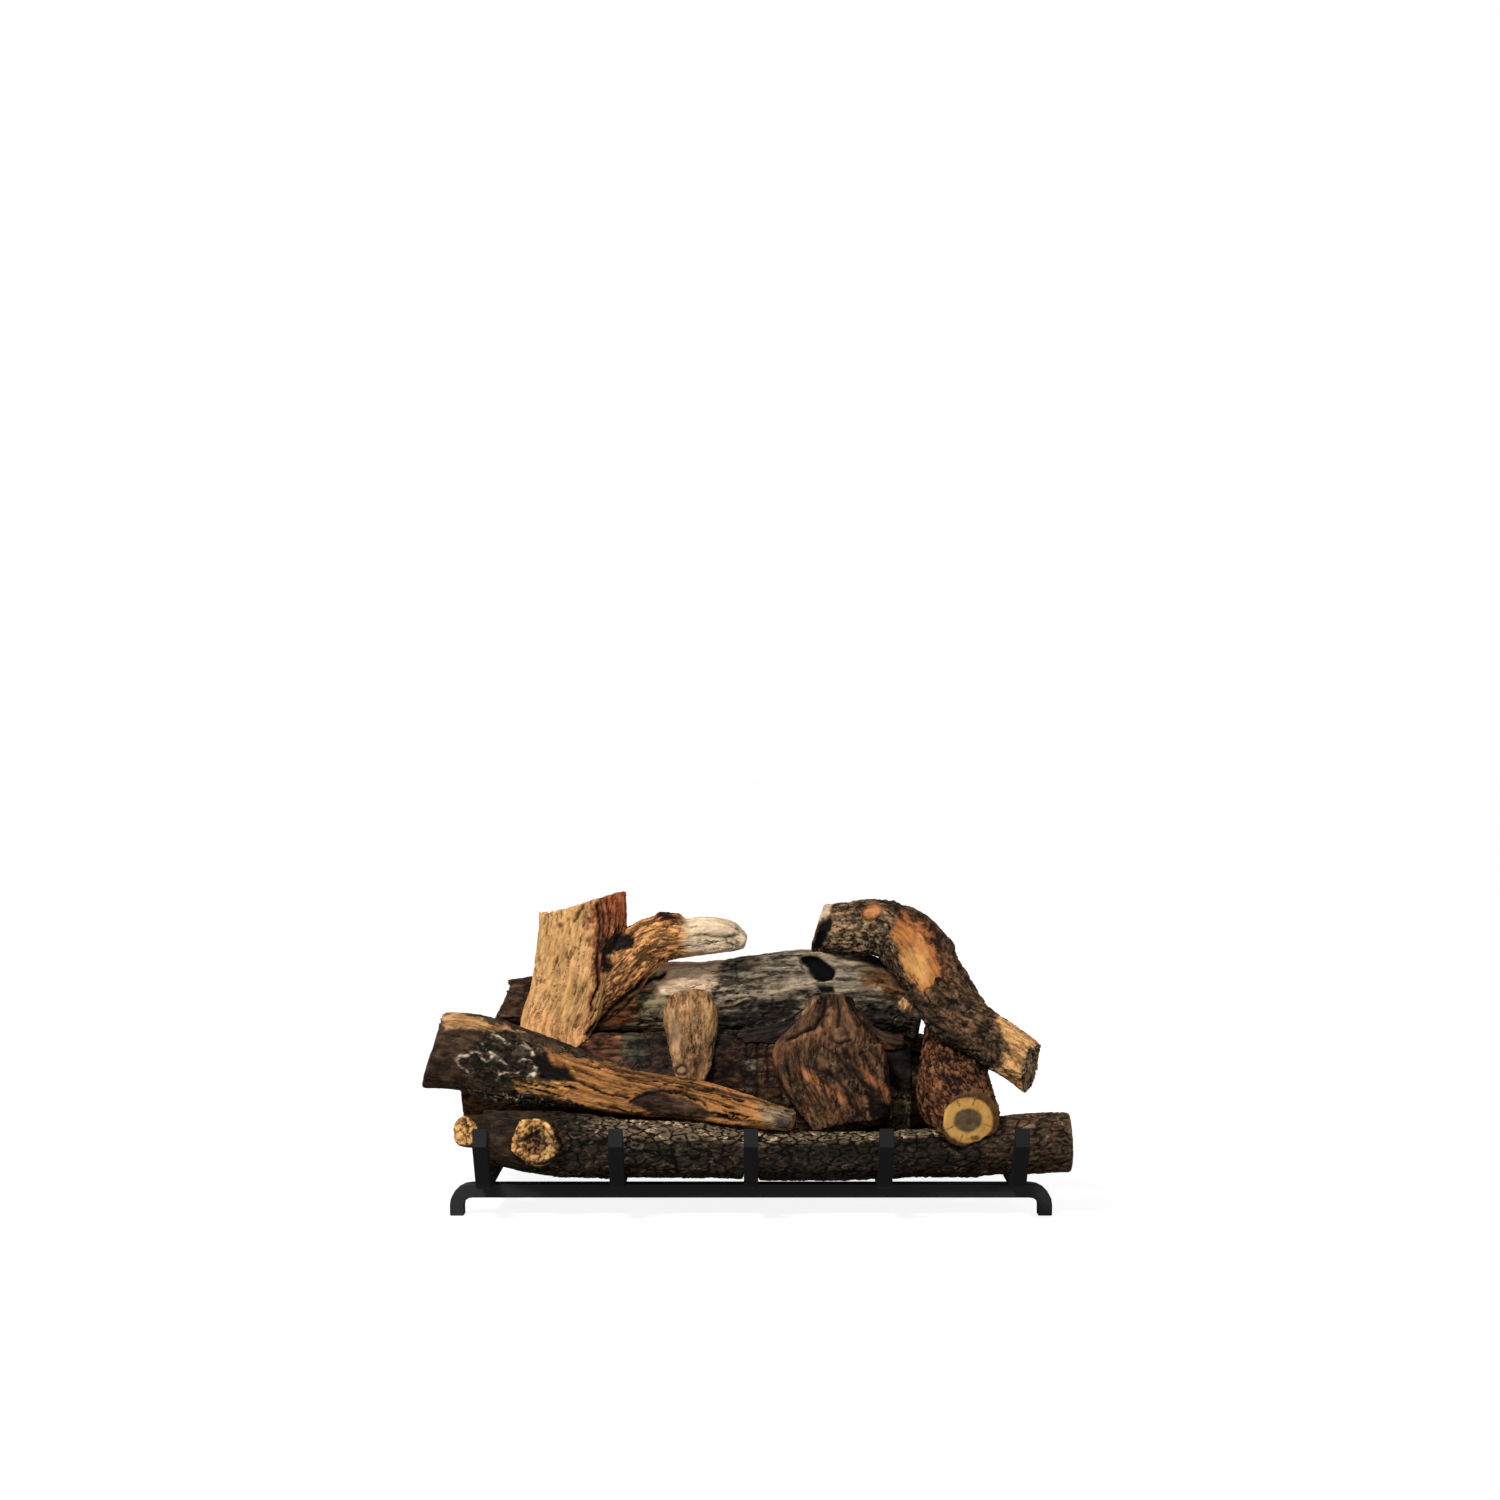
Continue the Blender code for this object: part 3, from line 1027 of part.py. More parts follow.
def make_pilot(steel, brass):
    """The pilot hood, its plate, the thermocouple and the two lines to the valve."""
    copper = finish("copper", (0.72, 0.36, 0.22), 0.35, 1.0)
    plate_top = TUBE_Z - TUBE_RADIUS - GAP
    front = TUBE_Y - TUBE_RADIUS / 2
    rear = PILOT_Y + PILOT_RADIUS + PILOT_WALL
    size = (PILOT_PLATE_LENGTH, rear - front, PILOT_PLATE_THICKNESS)
    mid_x = PILOT_X - THERMO_SPACING / 2
    at = (mid_x, (front + rear) / 2, plate_top - PILOT_PLATE_THICKNESS / 2)
    place("pilot_bracket", box_mesh("pilot_plate", size), steel, matrix=Matrix.Translation(at))
    inner = PILOT_RADIUS - PILOT_WALL
    foot = plate_top + GAP
    hood = [
        (PILOT_RADIUS, PILOT_HEIGHT), (PILOT_RADIUS, 0), (0, 0), (0, PILOT_WALL),
        (inner, PILOT_WALL), (inner, PILOT_HEIGHT),
    ]
    pilot = turned("pilot_hood", hood, steel, Matrix.Translation((PILOT_X, PILOT_Y, foot)))
    mouth = box_mesh("mouth", (inner, 2 * PILOT_RADIUS + OVERRUN, PILOT_HEIGHT / 2))
    mouth_at = (PILOT_X, PILOT_Y - PILOT_RADIUS, foot + PILOT_HEIGHT)
    boolean(pilot, place("pilot_mouth", mouth, matrix=Matrix.Translation(mouth_at)))
    thermo_x = PILOT_X - THERMO_SPACING
    tip = THERMO_RADIUS / 2
    probe = [
        (0, THERMO_HEIGHT), (tip, THERMO_HEIGHT), (THERMO_RADIUS, THERMO_HEIGHT - tip),
        (THERMO_RADIUS, THERMO_HEIGHT / 3), (3 * tip, THERMO_HEIGHT / 3), (3 * tip, 0), (0, 0),
    ]
    turned("thermocouple", probe, copper, Matrix.Translation((thermo_x, PILOT_Y, foot)), SMALL_STEPS)

    valve_left = VALVE_X - VALVE_LENGTH / 2 - GAP
    low = foot + PILOT_TUBE_RADIUS + PILOT_WALL
    turn_x = valve_left - 2 * LEAD_STEP
    end_y = VALVE_Y - LEAD_STEP / 2
    route = [
        (PILOT_X + PILOT_RADIUS + GAP, PILOT_Y, low),
        (PILOT_X + 2 * PILOT_TUBE_RADIUS + LEAD_STEP / 2, PILOT_Y, low),
        (BAR_XS[3], PILOT_Y, VALVE_Z), (turn_x, PILOT_Y, VALVE_Z),
        (valve_left - LEAD_STEP, end_y - LEAD_STEP, VALVE_Z), (valve_left - LEAD_STEP / 2, end_y, VALVE_Z),
        (valve_left, end_y, VALVE_Z),
    ]
    place("pilot_tube", tube_mesh("pilot_tube", route, PILOT_TUBE_RADIUS, 1), brass)
    behind = PILOT_Y + LEAD_STEP / 2
    end_y = VALVE_Y + LEAD_STEP / 2
    lead_z = VALVE_Z - LEAD_STEP / 2
    route = [
        (thermo_x, PILOT_Y + 3 * tip + 2 * GAP, low), (thermo_x, behind - LEAD_RADIUS, low),
        (PILOT_X, behind, low), (BAR_XS[3], behind, lead_z), (turn_x, behind, lead_z),
        (valve_left - LEAD_STEP, end_y - LEAD_STEP, lead_z), (valve_left - LEAD_STEP / 2, end_y, lead_z),
        (valve_left, end_y, lead_z),
    ]
    place("thermocouple_lead", tube_mesh("lead", route, LEAD_RADIUS, 1), copper)


for old in list(bpy.data.objects):
    bpy.data.objects.remove(old)
PARTS = collection("gas_log_set")
CUTTERS = collection("cutters")
make_logs(make_grate())
metals = make_burner()
make_valve(*metals)
make_pilot(*metals[:2])
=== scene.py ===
"""Dresses the gas log set: cast logs with carved bark, split grain, scorch marks and painted shade
and highlights, a black grate and a plain metal burner, on a pale floor in soft light."""

import json
import math

import bmesh
import bpy
import numpy as np
from bpy.props import FloatProperty, FloatVectorProperty, IntProperty, PointerProperty
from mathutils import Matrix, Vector, noise


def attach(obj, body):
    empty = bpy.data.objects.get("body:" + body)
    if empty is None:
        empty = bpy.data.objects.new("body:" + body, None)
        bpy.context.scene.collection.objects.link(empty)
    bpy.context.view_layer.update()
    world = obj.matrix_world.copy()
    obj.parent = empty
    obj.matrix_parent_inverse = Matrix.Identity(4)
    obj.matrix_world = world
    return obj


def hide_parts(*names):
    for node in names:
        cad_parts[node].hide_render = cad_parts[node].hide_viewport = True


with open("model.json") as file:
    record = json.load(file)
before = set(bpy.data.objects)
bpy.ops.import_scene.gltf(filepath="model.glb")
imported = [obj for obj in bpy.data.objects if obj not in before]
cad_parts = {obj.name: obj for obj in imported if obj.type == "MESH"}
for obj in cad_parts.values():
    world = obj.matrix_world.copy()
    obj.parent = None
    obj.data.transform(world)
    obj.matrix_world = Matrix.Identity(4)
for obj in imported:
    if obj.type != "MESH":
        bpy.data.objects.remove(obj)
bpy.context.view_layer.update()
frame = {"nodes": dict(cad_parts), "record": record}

bl_info = {
    "name": "Gas log set",
    "version": (1, 0, 0),
    "blender": (4, 5, 0),
    "location": "3D View > Sidebar > Log Set",
    "description": "Builds the dressed gas log set on its packed frame",
    "category": "Object",
}

# The camera, matched to the photo, whose own measures are in pixels
PHOTO_SIDE = 1500
PHOTO_SHIFT = 305
CAMERA_TILT = math.radians(8)
CAMERA_REACH = 2.4
CAMERA_TARGET = Vector((0.004, -0.104, 0.161))
CAMERA_LENS = 58.66
CAMERA_SENSOR = 36
CAMERA_SHIFT = PHOTO_SHIFT / PHOTO_SIDE

# The even meshes
MERGE_DISTANCE = 0.00001
JOIN_ANGLE = 0.5
JOIN_SKEW = 0.8
CREASE_ANGLE = math.radians(42)
ROUNDING_LEVELS = 2
PATH_STEPS = 110

# Limbs: which one, which end, and shares of a length that lie past its two ends
TRUNK = 0
START, STOP = 0, 1
BEFORE, BEYOND = -1, 2
LIMB_GAP = 1.0
TOWARD_VIEWER = (0, -1, 0)

# Masks: how far an end face reaches in, what counts as facing, and how edges wander
SAWN_REACH = 0.022
SAWN_FULL_SHARE = 0.7
SAWN_FACING = (0.55, 0.8)
VIEW_FACING = (-0.1, 0.25)
WANDER_SEED = 5
WANDER_RATE = 80
FINE_WANDER_RATE = 260
FINE_WANDER_SHARE = 0.6
SIDE_WANDER = 0.15
FAR = 1e9
TINY = 1e-9

# Patterns: sizes and heights in metres, rates in repeats for each metre
RIM_WIDTH = 0.0010
FADE_SIZE = 0.026
RARE_SIZE = 0.020
BAND_SIZE = 0.011
BLOTCH_SIZE = 0.034
STAIN_SIZE = 0.016
CURL_SIZE = 0.0055
PITTING_SIZE = 0.0016
THREAD_SIZE = 0.0011
TONE_HEIGHT = 0.0022
PEAK_HEIGHTS = (0.0003, 0.0016)
BUMP_HEIGHT = 0.0015
PAINT_BUMP_HEIGHT = 0.0003
RIM_BREAKUP_RATE = (90, 130, 130)
SPECK_RATE = (320, 520, 520)
PATCH_RATE = (60, 60, 60)
CLOUD_RATE = (26, 26, 26)
DUST_RATE = (420, 420, 420)

# The finish of the black paint, and the stage
PAINT = {"roughness": 0.62, "metallic": 0.0, "speckle": 0.3, "wear": 0.08, "shine": 0.16}
FLOOR_DROP = 0.0004
FLOOR_GREY = 0.3
FLOOR_ROUGHNESS = 0.9
FLOOR_GLOW = 0.88
KEY_LAMP = {"size": 0.5, "place": (-0.9, -1.5, 1.9), "target": (0, 0, 0.15)}
FILL_LAMP = {"size": 1.6, "place": (1.7, -1.6, 1.0), "target": (0, 0, 0.12)}


def plain(red, green, blue):
    """A screen colour, 0 to 255, as linear light."""
    made = []
    for part in (red, green, blue):
        share = part / 255
        made.append(share / 12.92 if share <= 0.04045 else ((share + 0.055) / 1.055) ** 2.4)
    return tuple(made)


def colour_property(name, description, *rgb):
    """A colour that a user may change."""
    return FloatVectorProperty(
        name=name, description=description, default=plain(*rgb), size=3, subtype="COLOR", min=0, max=1
    )


class LogSizes(bpy.types.PropertyGroup):
    """Sizes of the carved surface."""

    fine_grid: FloatProperty(
        name="Fine grid", description="Mesh width on the small logs", default=0.00125, unit="LENGTH"
    )
    grid: FloatProperty(
        name="Grid", description="Mesh width on the long logs", default=0.0015, unit="LENGTH"
    )
    coarse_grid: FloatProperty(
        name="Coarse grid", description="Mesh width on the hidden log", default=0.0022, unit="LENGTH"
    )
    blur_steps: IntProperty(name="Blur steps", description="How far facets are smoothed", default=4)
    crack_depth: FloatProperty(
        name="Crack depth", description="Depth of the bark's cracks", default=0.0016, unit="LENGTH"
    )
    rough_depth: FloatProperty(
        name="Rough depth", description="Height of the bark's lumps", default=0.0022, unit="LENGTH"
    )
    grain_depth: FloatProperty(
        name="Grain depth", description="Depth of the grooves in bare wood", default=0.0018, unit="LENGTH"
    )


class LogColours(bpy.types.PropertyGroup):
    """Colours of the logs."""

    front_bark: colour_property("Front bark", "Dark bark of the front log", 24, 17, 12)
    stub_bark: colour_property("Stub bark", "Smoother bark of the sawn stubs", 58, 44, 32)
    sawn_tan: colour_property("Sawn tan", "Sawn faces of the front log's stubs", 240, 176, 106)
    split_bark: colour_property("Split log bark", "Bark at the left end of the split log", 70, 52, 38)
    split_wood: colour_property("Split wood", "Bare orange wood of the split log", 178, 120, 66)
    block_char: colour_property("Middle char", "Charred brown blocks of the middle log", 56, 40, 29)
    grey_char: colour_property("Rear char", "Grey char of the rear log", 168, 150, 126)
    trunk_tan: colour_property("Trunk tan", "Bare tan face of the forked log", 214, 162, 102)
    trunk_rust: colour_property("Trunk rust", "Red-brown side of the forked log", 160, 94, 56)
    pale_tip: colour_property("Pale tip", "Weathered tip of the branch", 232, 204, 168)
    root_brown: colour_property("Root brown", "Fluted bark of the root log", 98, 65, 43)
    chip_tan: colour_property("Chip tan", "Weathered face of the wood chip", 154, 112, 74)
    rust_bark: colour_property("Rust bark", "Rough bark of the short round log", 124, 79, 51)
    ochre: colour_property("Ochre", "Sawn face of the short round log", 255, 192, 104)
    upper_bark: colour_property("Upper bark", "Dark bark of the bent log", 108, 77, 50)
    bare_orange: colour_property("Bare orange", "Fresh bare patch on the bent log", 182, 116, 62)
    # Cream also paints the pale rims and flecks: partly drybrush, partly painted glints
    cream: colour_property("Cream", "Pale sawn edges and crack rims", 210, 182, 142)
    # Soot darkens burnt hollows and cracks, and also stands as painted shade in grooves, flutes and gaps
    soot_and_shade: colour_property("Soot", "Burnt hollows and deep cracks", 9, 8, 7)


class MetalColours(bpy.types.PropertyGroup):
    """Colours of the grate and burner."""

    grate_black: colour_property("Grate black", "Heat-proof black of the bars", 22, 22, 23)
    # The rail's black is lighter than the bars': painted light against the front log's shadow
    rail_black_lit: colour_property("Rail black", "Heat-proof black of the front rail", 46, 46, 47)
    steel: colour_property("Steel", "Dull steel of the burner", 150, 147, 142)
    brass: colour_property("Brass", "Fittings and tubes", 190, 156, 92)
    copper: colour_property("Copper", "Thermocouple", 196, 128, 92)
    zinc: colour_property("Zinc", "Screws", 188, 188, 184)
    cast: colour_property("Cast metal", "Valve body", 176, 176, 172)
    knob: colour_property("Knob", "Black knob", 36, 36, 37)


class StageSizes(bpy.types.PropertyGroup):
    """Floor and light."""

    floor_side: FloatProperty(name="Floor side", description="Side of the floor", default=30, unit="LENGTH")
    key_power: FloatProperty(name="Key", description="Power of the large lamp", default=58)
    fill_power: FloatProperty(name="Fill", description="Power of the fill lamp", default=7)
    world_level: FloatProperty(name="World", description="Level of the even light", default=0.30)


class Value:
    """A socket that can be used in sums: each operation adds its Math node."""

    def __init__(self, graph, socket):
        self.graph, self.socket = graph, socket

    def joined(self, operation, *values):
        inputs = dict(enumerate(values))
        return self.graph.add("ShaderNodeMath", {"operation": operation}, inputs)

    def __add__(self, other):
        return self.joined("ADD", self, other)

    def __sub__(self, other):
        return self.joined("SUBTRACT", self, other)

    def __rsub__(self, other):
        return self.joined("SUBTRACT", other, self)

    def __mul__(self, other):
        return self.joined("MULTIPLY", self, other)

    __radd__, __rmul__ = __add__, __mul__

    def size(self):
        return self.joined("ABSOLUTE", self)

    def spread(self, low, high, start=0.0, end=1.0):
        """This value eased from start to end as it goes from low to high."""
        inputs = {"Value": self, "From Min": low, "From Max": high, "To Min": start, "To Max": end}
        return self.graph.add("ShaderNodeMapRange", {"interpolation_type": "SMOOTHSTEP"}, inputs)


class Graph:
    """A node tree with one method that adds any node."""

    def __init__(self, tree):
        self.tree = tree

    def add(self, kind, settings=None, inputs=None, output=0):
        """A node of a type, with its settings, then its sockets' values or links."""
        node = self.tree.nodes.new(kind)
        for key, value in (settings or {}).items():
            if key == "stops":
                self.set_stops(node.color_ramp, value)
            else:
                setattr(node, key, value)
        for key, value in (inputs or {}).items():
            if isinstance(value, Value):
                self.tree.links.new(value.socket, node.inputs[key])
            else:
                node.inputs[key].default_value = value
        return Value(self, node.outputs[output])

    def set_stops(self, ramp, stops):
        for i, (place, colour) in enumerate(stops):
            stop = ramp.elements[i] if i < 2 else ramp.elements.new(place)
            stop.position = place
            stop.color = (*colour, 1)

    def scaled(self, vector, factors):
        inputs = {0: vector, 1: factors}
        return self.add("ShaderNodeVectorMath", {"operation": "MULTIPLY"}, inputs)

    def moved(self, vector, offset):
        return self.add("ShaderNodeVectorMath", {"operation": "ADD"}, {0: vector, 1: offset})

    def noise(self, vector, detail=4.0, roughness=0.55, distortion=0.0, output=0):
        inputs = {"Vector": vector, "Scale": 1, "Detail": detail, "Roughness": roughness}
        inputs["Distortion"] = distortion
        return self.add("ShaderNodeTexNoise", None, inputs, output)

    def cells(self, vector, feature, output=0):
        inputs = {"Vector": vector, "Scale": 1, "Randomness": 0.85}
        return self.add("ShaderNodeTexVoronoi", {"feature": feature}, inputs, output)

    def mix(self, factor, first, second):
        """One colour mixed into another."""
        return self.add("ShaderNodeMix", {"data_type": "RGBA"}, {0: factor, 6: first, 7: second}, 2)

    def ramp(self, factor, stops):
        return self.add("ShaderNodeValToRGB", {"stops": stops}, {0: factor})


def stretched(graph, flow, size, stretch):
    """Flow coordinates in units of a size, drawn out along the limb."""
    return graph.scaled(flow, (1 / (size * stretch), 1 / size, 1 / size))


class Relief:
    """How a log's surface is carved: sizes in metres, stretch as a ratio along the log."""

    def __init__(self, plate=0.009, stretch=1.7, crack=0.10, rise=1.0, rough=0.011, rough_stretch=1.6,
                 grain=0.0042, grain_stretch=11.0, depth=1.0):
        self.plate, self.stretch, self.crack, self.rise = plate, stretch, crack, rise
        self.rough, self.rough_stretch = rough, rough_stretch
        self.grain, self.grain_stretch, self.depth = grain, grain_stretch, depth


def attribute(graph, name, kind="FLOAT"):
    """A named attribute inside a geometry tree."""
    return graph.add("GeometryNodeInputNamedAttribute", {"data_type": kind}, {"Name": name})


def relief_tree(relief):
    """The geometry tree that smooths a log's mesh and carves plates, lumps and grain into it."""
    tree = bpy.data.node_groups.new("carved_surface", "GeometryNodeTree")
    face = tree.interface
    face.new_socket("Geometry", in_out="INPUT", socket_type="NodeSocketGeometry")
    face.new_socket("Blur Steps", in_out="INPUT", socket_type="NodeSocketInt")
    for name in ("Crack Depth", "Rough Depth", "Grain Depth", "Seed"):
        face.new_socket(name, in_out="INPUT", socket_type="NodeSocketFloat")
    face.new_socket("Material", in_out="INPUT", socket_type="NodeSocketMaterial")
    face.new_socket("Geometry", in_out="OUTPUT", socket_type="NodeSocketGeometry")
    graph = Graph(tree)
    ways_in = tree.nodes.new("NodeGroupInput")
    given = {socket.name: Value(graph, socket) for socket in ways_in.outputs if socket.name}

    position = graph.add("GeometryNodeInputPosition")
    inputs = {"Value": position, "Iterations": given["Blur Steps"]}
    smooth = graph.add("GeometryNodeBlurAttribute", {"data_type": "FLOAT_VECTOR"}, inputs)
    inputs = {"Geometry": given["Geometry"], "Position": smooth}
    geometry = graph.add("GeometryNodeSetPosition", None, inputs)

    seed = graph.add("ShaderNodeCombineXYZ", None, {0: given["Seed"], 1: given["Seed"]})
    flow = graph.moved(attribute(graph, "flow", "FLOAT_VECTOR"), seed)
    plates, lumps, grain = (attribute(graph, name) for name in ("plates", "lumps", "grain"))

    wander = graph.noise(graph.scaled(flow, (1 / relief.plate,) * 3), 3, 0.6, output=1)
    wander = graph.scaled(graph.moved(wander, (-0.5, -0.5, -0.5)), (relief.plate * 0.55,) * 3)
    cell_flow = stretched(graph, graph.moved(flow, wander), relief.plate, relief.stretch)
    edge = graph.cells(cell_flow, "DISTANCE_TO_EDGE")
    level = graph.cells(cell_flow, "F1", 1)
    fade = graph.noise(stretched(graph, flow, FADE_SIZE, 1.4), 3, 0.6).spread(0.40, 0.58, 0.25, 1.0)
    crack = edge.spread(0.0, relief.crack, 1.0, 0.0) * fade
    plate_height = (level - 0.5) * (0.9 * relief.rise) * fade - crack

    lump = graph.noise(stretched(graph, flow, relief.rough, relief.rough_stretch), 7, 0.62, 0.3)
    furrow = graph.noise(stretched(graph, flow, relief.rough * 0.6, relief.rough_stretch * 2.2), 5, 0.6)
    furrow = (furrow - 0.5).size().spread(0.0, 0.09, 1.0, 0.0)
    lump_height = (lump - 0.5) * 2.4 - furrow * 0.5

    fibre = graph.noise(stretched(graph, flow, relief.grain, relief.grain_stretch), 5, 0.6, 0.25)
    split = graph.noise(stretched(graph, flow, relief.grain * 2.6, relief.grain_stretch * 0.8), 4, 0.6, 0.4)
    rare = graph.noise(stretched(graph, flow, RARE_SIZE, 3), 3, 0.6).spread(0.46, 0.58)
    groove = (split - 0.5).size().spread(0.0, 0.030, 1.0, 0.0) * rare
    grain_height = (fibre - 0.5) * 1.7 + (split - 0.5) * 1.6 - groove * 0.9

    height = plates * plate_height * given["Crack Depth"] + lumps * lump_height * given["Rough Depth"]
    height = (height + grain * grain_height * given["Grain Depth"]) * relief.depth
    hollow = (plates * crack).joined("MAXIMUM", plates * crack, grain * groove)
    hollow = hollow.joined("MAXIMUM", hollow, lumps * furrow * 0.7)
    for name, value in (("height", height), ("hollow", hollow), ("edge", edge)):
        inputs = {"Geometry": geometry, "Name": name, "Value": value}
        settings = {"data_type": "FLOAT", "domain": "POINT"}
        geometry = graph.add("GeometryNodeStoreNamedAttribute", settings, inputs)
    normal = graph.add("GeometryNodeInputNormal")
    push = attribute(graph, "height") - attribute(graph, "sink")
    offset = graph.add("ShaderNodeVectorMath", {"operation": "SCALE"}, {0: normal, 3: push})
    geometry = graph.add("GeometryNodeSetPosition", None, {"Geometry": geometry, "Offset": offset})
    geometry = graph.add("GeometryNodeRealizeInstances", None, {"Geometry": geometry})
    inputs = {"Geometry": geometry, "Material": given["Material"]}
    geometry = graph.add("GeometryNodeSetMaterial", None, inputs)
    way_out = tree.nodes.new("NodeGroupOutput")
    tree.links.new(geometry.socket, way_out.inputs[0])
    return tree


def eased(low, high, x):
    """0 below low and 1 above high, with a smooth step between."""
    t = np.clip((x - low) / (high - low), 0, 1)
    return t * t * (3 - 2 * t)


class Path:
    """The middle line of a limb, from points of x, y, z, half width and half height."""

    def __init__(self, points, up=(0, 0, 1)):
        rows = np.array(points, float)
        steps = np.linspace(0, len(rows) - 1, PATH_STEPS)
        i = np.minimum(steps.astype(int), len(rows) - 2)
        t = (steps - i)[:, None]
        last = len(rows) - 1
        p, q, r, s = (rows[np.clip(i + k, 0, last)] for k in (-1, 0, 1, 2))
        bend = (2 * p - 5 * q + 4 * r - s) * t**2 + (3 * q - p - 3 * r + s) * t**3
        dense = (2 * q + (r - p) * t + bend) / 2
        self.centre, self.half = dense[:, :3], dense[:, 3:]
        tangent = np.gradient(self.centre, axis=0)
        lengths = np.linalg.norm(np.diff(self.centre, axis=0), axis=1)
        self.along = np.concatenate([[0], np.cumsum(lengths)])
        self.tangent = tangent / np.linalg.norm(tangent, axis=1)[:, None]
        up = np.array(up, float)
        rise = up - self.tangent * (self.tangent @ up)[:, None]
        self.up = rise / np.linalg.norm(rise, axis=1)[:, None]
        self.side = np.cross(self.tangent, self.up)

    def read(self, co):
        """For each point: distance along, across, over and how far out it lies, in half widths."""
        gaps = (co**2).sum(1)[:, None] - 2 * co @ self.centre.T + (self.centre**2).sum(1)
        i = gaps.argmin(1)
        rel = co - self.centre[i]
        ahead = (rel * self.tangent[i]).sum(1)
        across, over = (rel * self.side[i]).sum(1), (rel * self.up[i]).sum(1)
        away = np.hypot(across / self.half[i, 0], over / self.half[i, 1])
        along = self.along[i] + ahead
        past = np.maximum(0, np.maximum(-along, along - self.along[-1])) / self.half[i, 0]
        return along, across, over, np.hypot(away, past)


class Skin:
    """What is known at each point of a log's surface: its place on a limb and in the photo."""

    def __init__(self, mesh, paths):
        count = len(mesh.vertices)
        co, normal = np.zeros(count * 3), np.zeros(count * 3)
        mesh.vertices.foreach_get("co", co)
        mesh.vertex_normals.foreach_get("vector", normal)
        self.co, self.normal = co.reshape(-1, 3), normal.reshape(-1, 3)
        reads = [path.read(self.co) for path in paths]
        self.limb = np.argmin([read[3] for read in reads], axis=0)
        rows = np.arange(count)
        self.along, self.across, self.over = (
            np.array([read[k] for read in reads])[self.limb, rows] for k in range(3)
        )
        lengths = np.array([path.along[-1] for path in paths])
        self.share = self.along / lengths[self.limb]
        self.paths = paths
        cos, sin = math.cos(CAMERA_TILT), math.sin(CAMERA_TILT)
        eye = np.array(CAMERA_TARGET) + CAMERA_REACH * np.array([0, -cos, sin])
        rel = self.co - eye
        depth = rel @ np.array([0, cos, -sin])
        height = rel @ np.array([0, sin, cos])
        scale = PHOTO_SIDE * CAMERA_LENS / CAMERA_SENSOR / depth
        self.u = PHOTO_SIDE / 2 + rel[:, 0] * scale
        self.v = PHOTO_SIDE / 2 - height * scale + CAMERA_SHIFT * PHOTO_SIDE
        toward = -rel / np.linalg.norm(rel, axis=1)[:, None]
        self.facing = eased(*VIEW_FACING, (self.normal * toward).sum(1))
        noise.seed_set(WANDER_SEED)
        self.wander = np.array([wandering(Vector(p)) for p in self.co])

    def shifted(self, wobble):
        """Each point's place in the photo, in pixels, moved by its wander."""
        return self.u + self.wander[:, 0] * wobble, self.v + self.wander[:, 1] * wobble


def wandering(point):
    """A smooth random shift that goes with a place."""
    coarse = noise.noise_vector(point * WANDER_RATE)
    fine = noise.noise_vector(point * FINE_WANDER_RATE)
    return coarse + fine * FINE_WANDER_SHARE


def outline(points, feather=4.0, wobble=7.0):
    """A mask inside an outline that is drawn over the photo, in its pixels."""
    def mask(skin):
        u, v = skin.shifted(wobble)
        inside = np.zeros(len(u), bool)
        near = np.full(len(u), FAR)
        for (x0, y0), (x1, y1) in zip(points, points[1:] + points[:1]):
            crosses = (y0 > v) != (y1 > v)
            inside ^= crosses & (u < (x1 - x0) * (v - y0) / ((y1 - y0) or TINY) + x0)
            near = np.minimum(near, distance_to_line(u, v, x0, y0, x1, y1))
        return eased(-feather, feather, np.where(inside, near, -near)) * skin.facing
    return mask


def distance_to_line(u, v, x0, y0, x1, y1):
    """How far pixels lie from a line between two pixels."""
    length = (x1 - x0) ** 2 + (y1 - y0) ** 2 + TINY
    t = np.clip(((u - x0) * (x1 - x0) + (v - y0) * (y1 - y0)) / length, 0, 1)
    return np.hypot(u - x0 - t * (x1 - x0), v - y0 - t * (y1 - y0))


def stroke(points, width, feather=1.5, wobble=2.0):
    """A mask along a line that is drawn over the photo."""
    def mask(skin):
        u, v = skin.shifted(wobble)
        near = np.full(len(u), FAR)
        for (x0, y0), (x1, y1) in zip(points, points[1:]):
            near = np.minimum(near, distance_to_line(u, v, x0, y0, x1, y1))
        return eased(width / 2 + feather, width / 2 - feather, near) * skin.facing
    return mask


def spot(oval, turn=0.0, feather=2.0, wobble=1.2):
    """A mask over an oval in the photo: its middle's two pixels, then half its width and height."""
    mid_u, mid_v, half_width, half_height = oval

    def mask(skin):
        u, v = skin.shifted(wobble)
        du, dv = u - mid_u, v - mid_v
        cos, sin = math.cos(math.radians(turn)), math.sin(math.radians(turn))
        reach = np.hypot((du * cos + dv * sin) / half_width, (dv * cos - du * sin) / half_height)
        soft = feather / min(half_width, half_height)
        return eased(1 + soft, 1 - soft, reach) * skin.facing
    return mask


def stretch_of(limb, start, end, feather=0.02):
    """A mask all round a limb between two shares of its length."""
    def mask(skin):
        share = skin.share + skin.wander[:, 2] * feather
        band = eased(start - feather, start + feather, share) * eased(end + feather, end - feather, share)
        return band * (skin.limb == limb)
    return mask


def sawn(limb, end):
    """A mask over the face at a limb's START or STOP."""
    def mask(skin):
        path = skin.paths[limb]
        outward = -path.tangent[0] if end == START else path.tangent[-1]
        at = 0 if end == START else path.along[-1]
        near = eased(SAWN_REACH, SAWN_REACH * SAWN_FULL_SHARE, np.abs(skin.along - at))
        return near * eased(*SAWN_FACING, skin.normal @ outward) * (skin.limb == limb)
    return mask


def side_of(direction, low=0.2, high=0.5):
    """A mask over what faces a direction."""
    def mask(skin):
        way = np.array(direction, float) / np.linalg.norm(direction)
        return eased(low, high, skin.normal @ way + skin.wander[:, 0] * SIDE_WANDER)
    return mask


def both(first, second):
    """Where two masks overlap."""
    return lambda skin: first(skin) * second(skin)


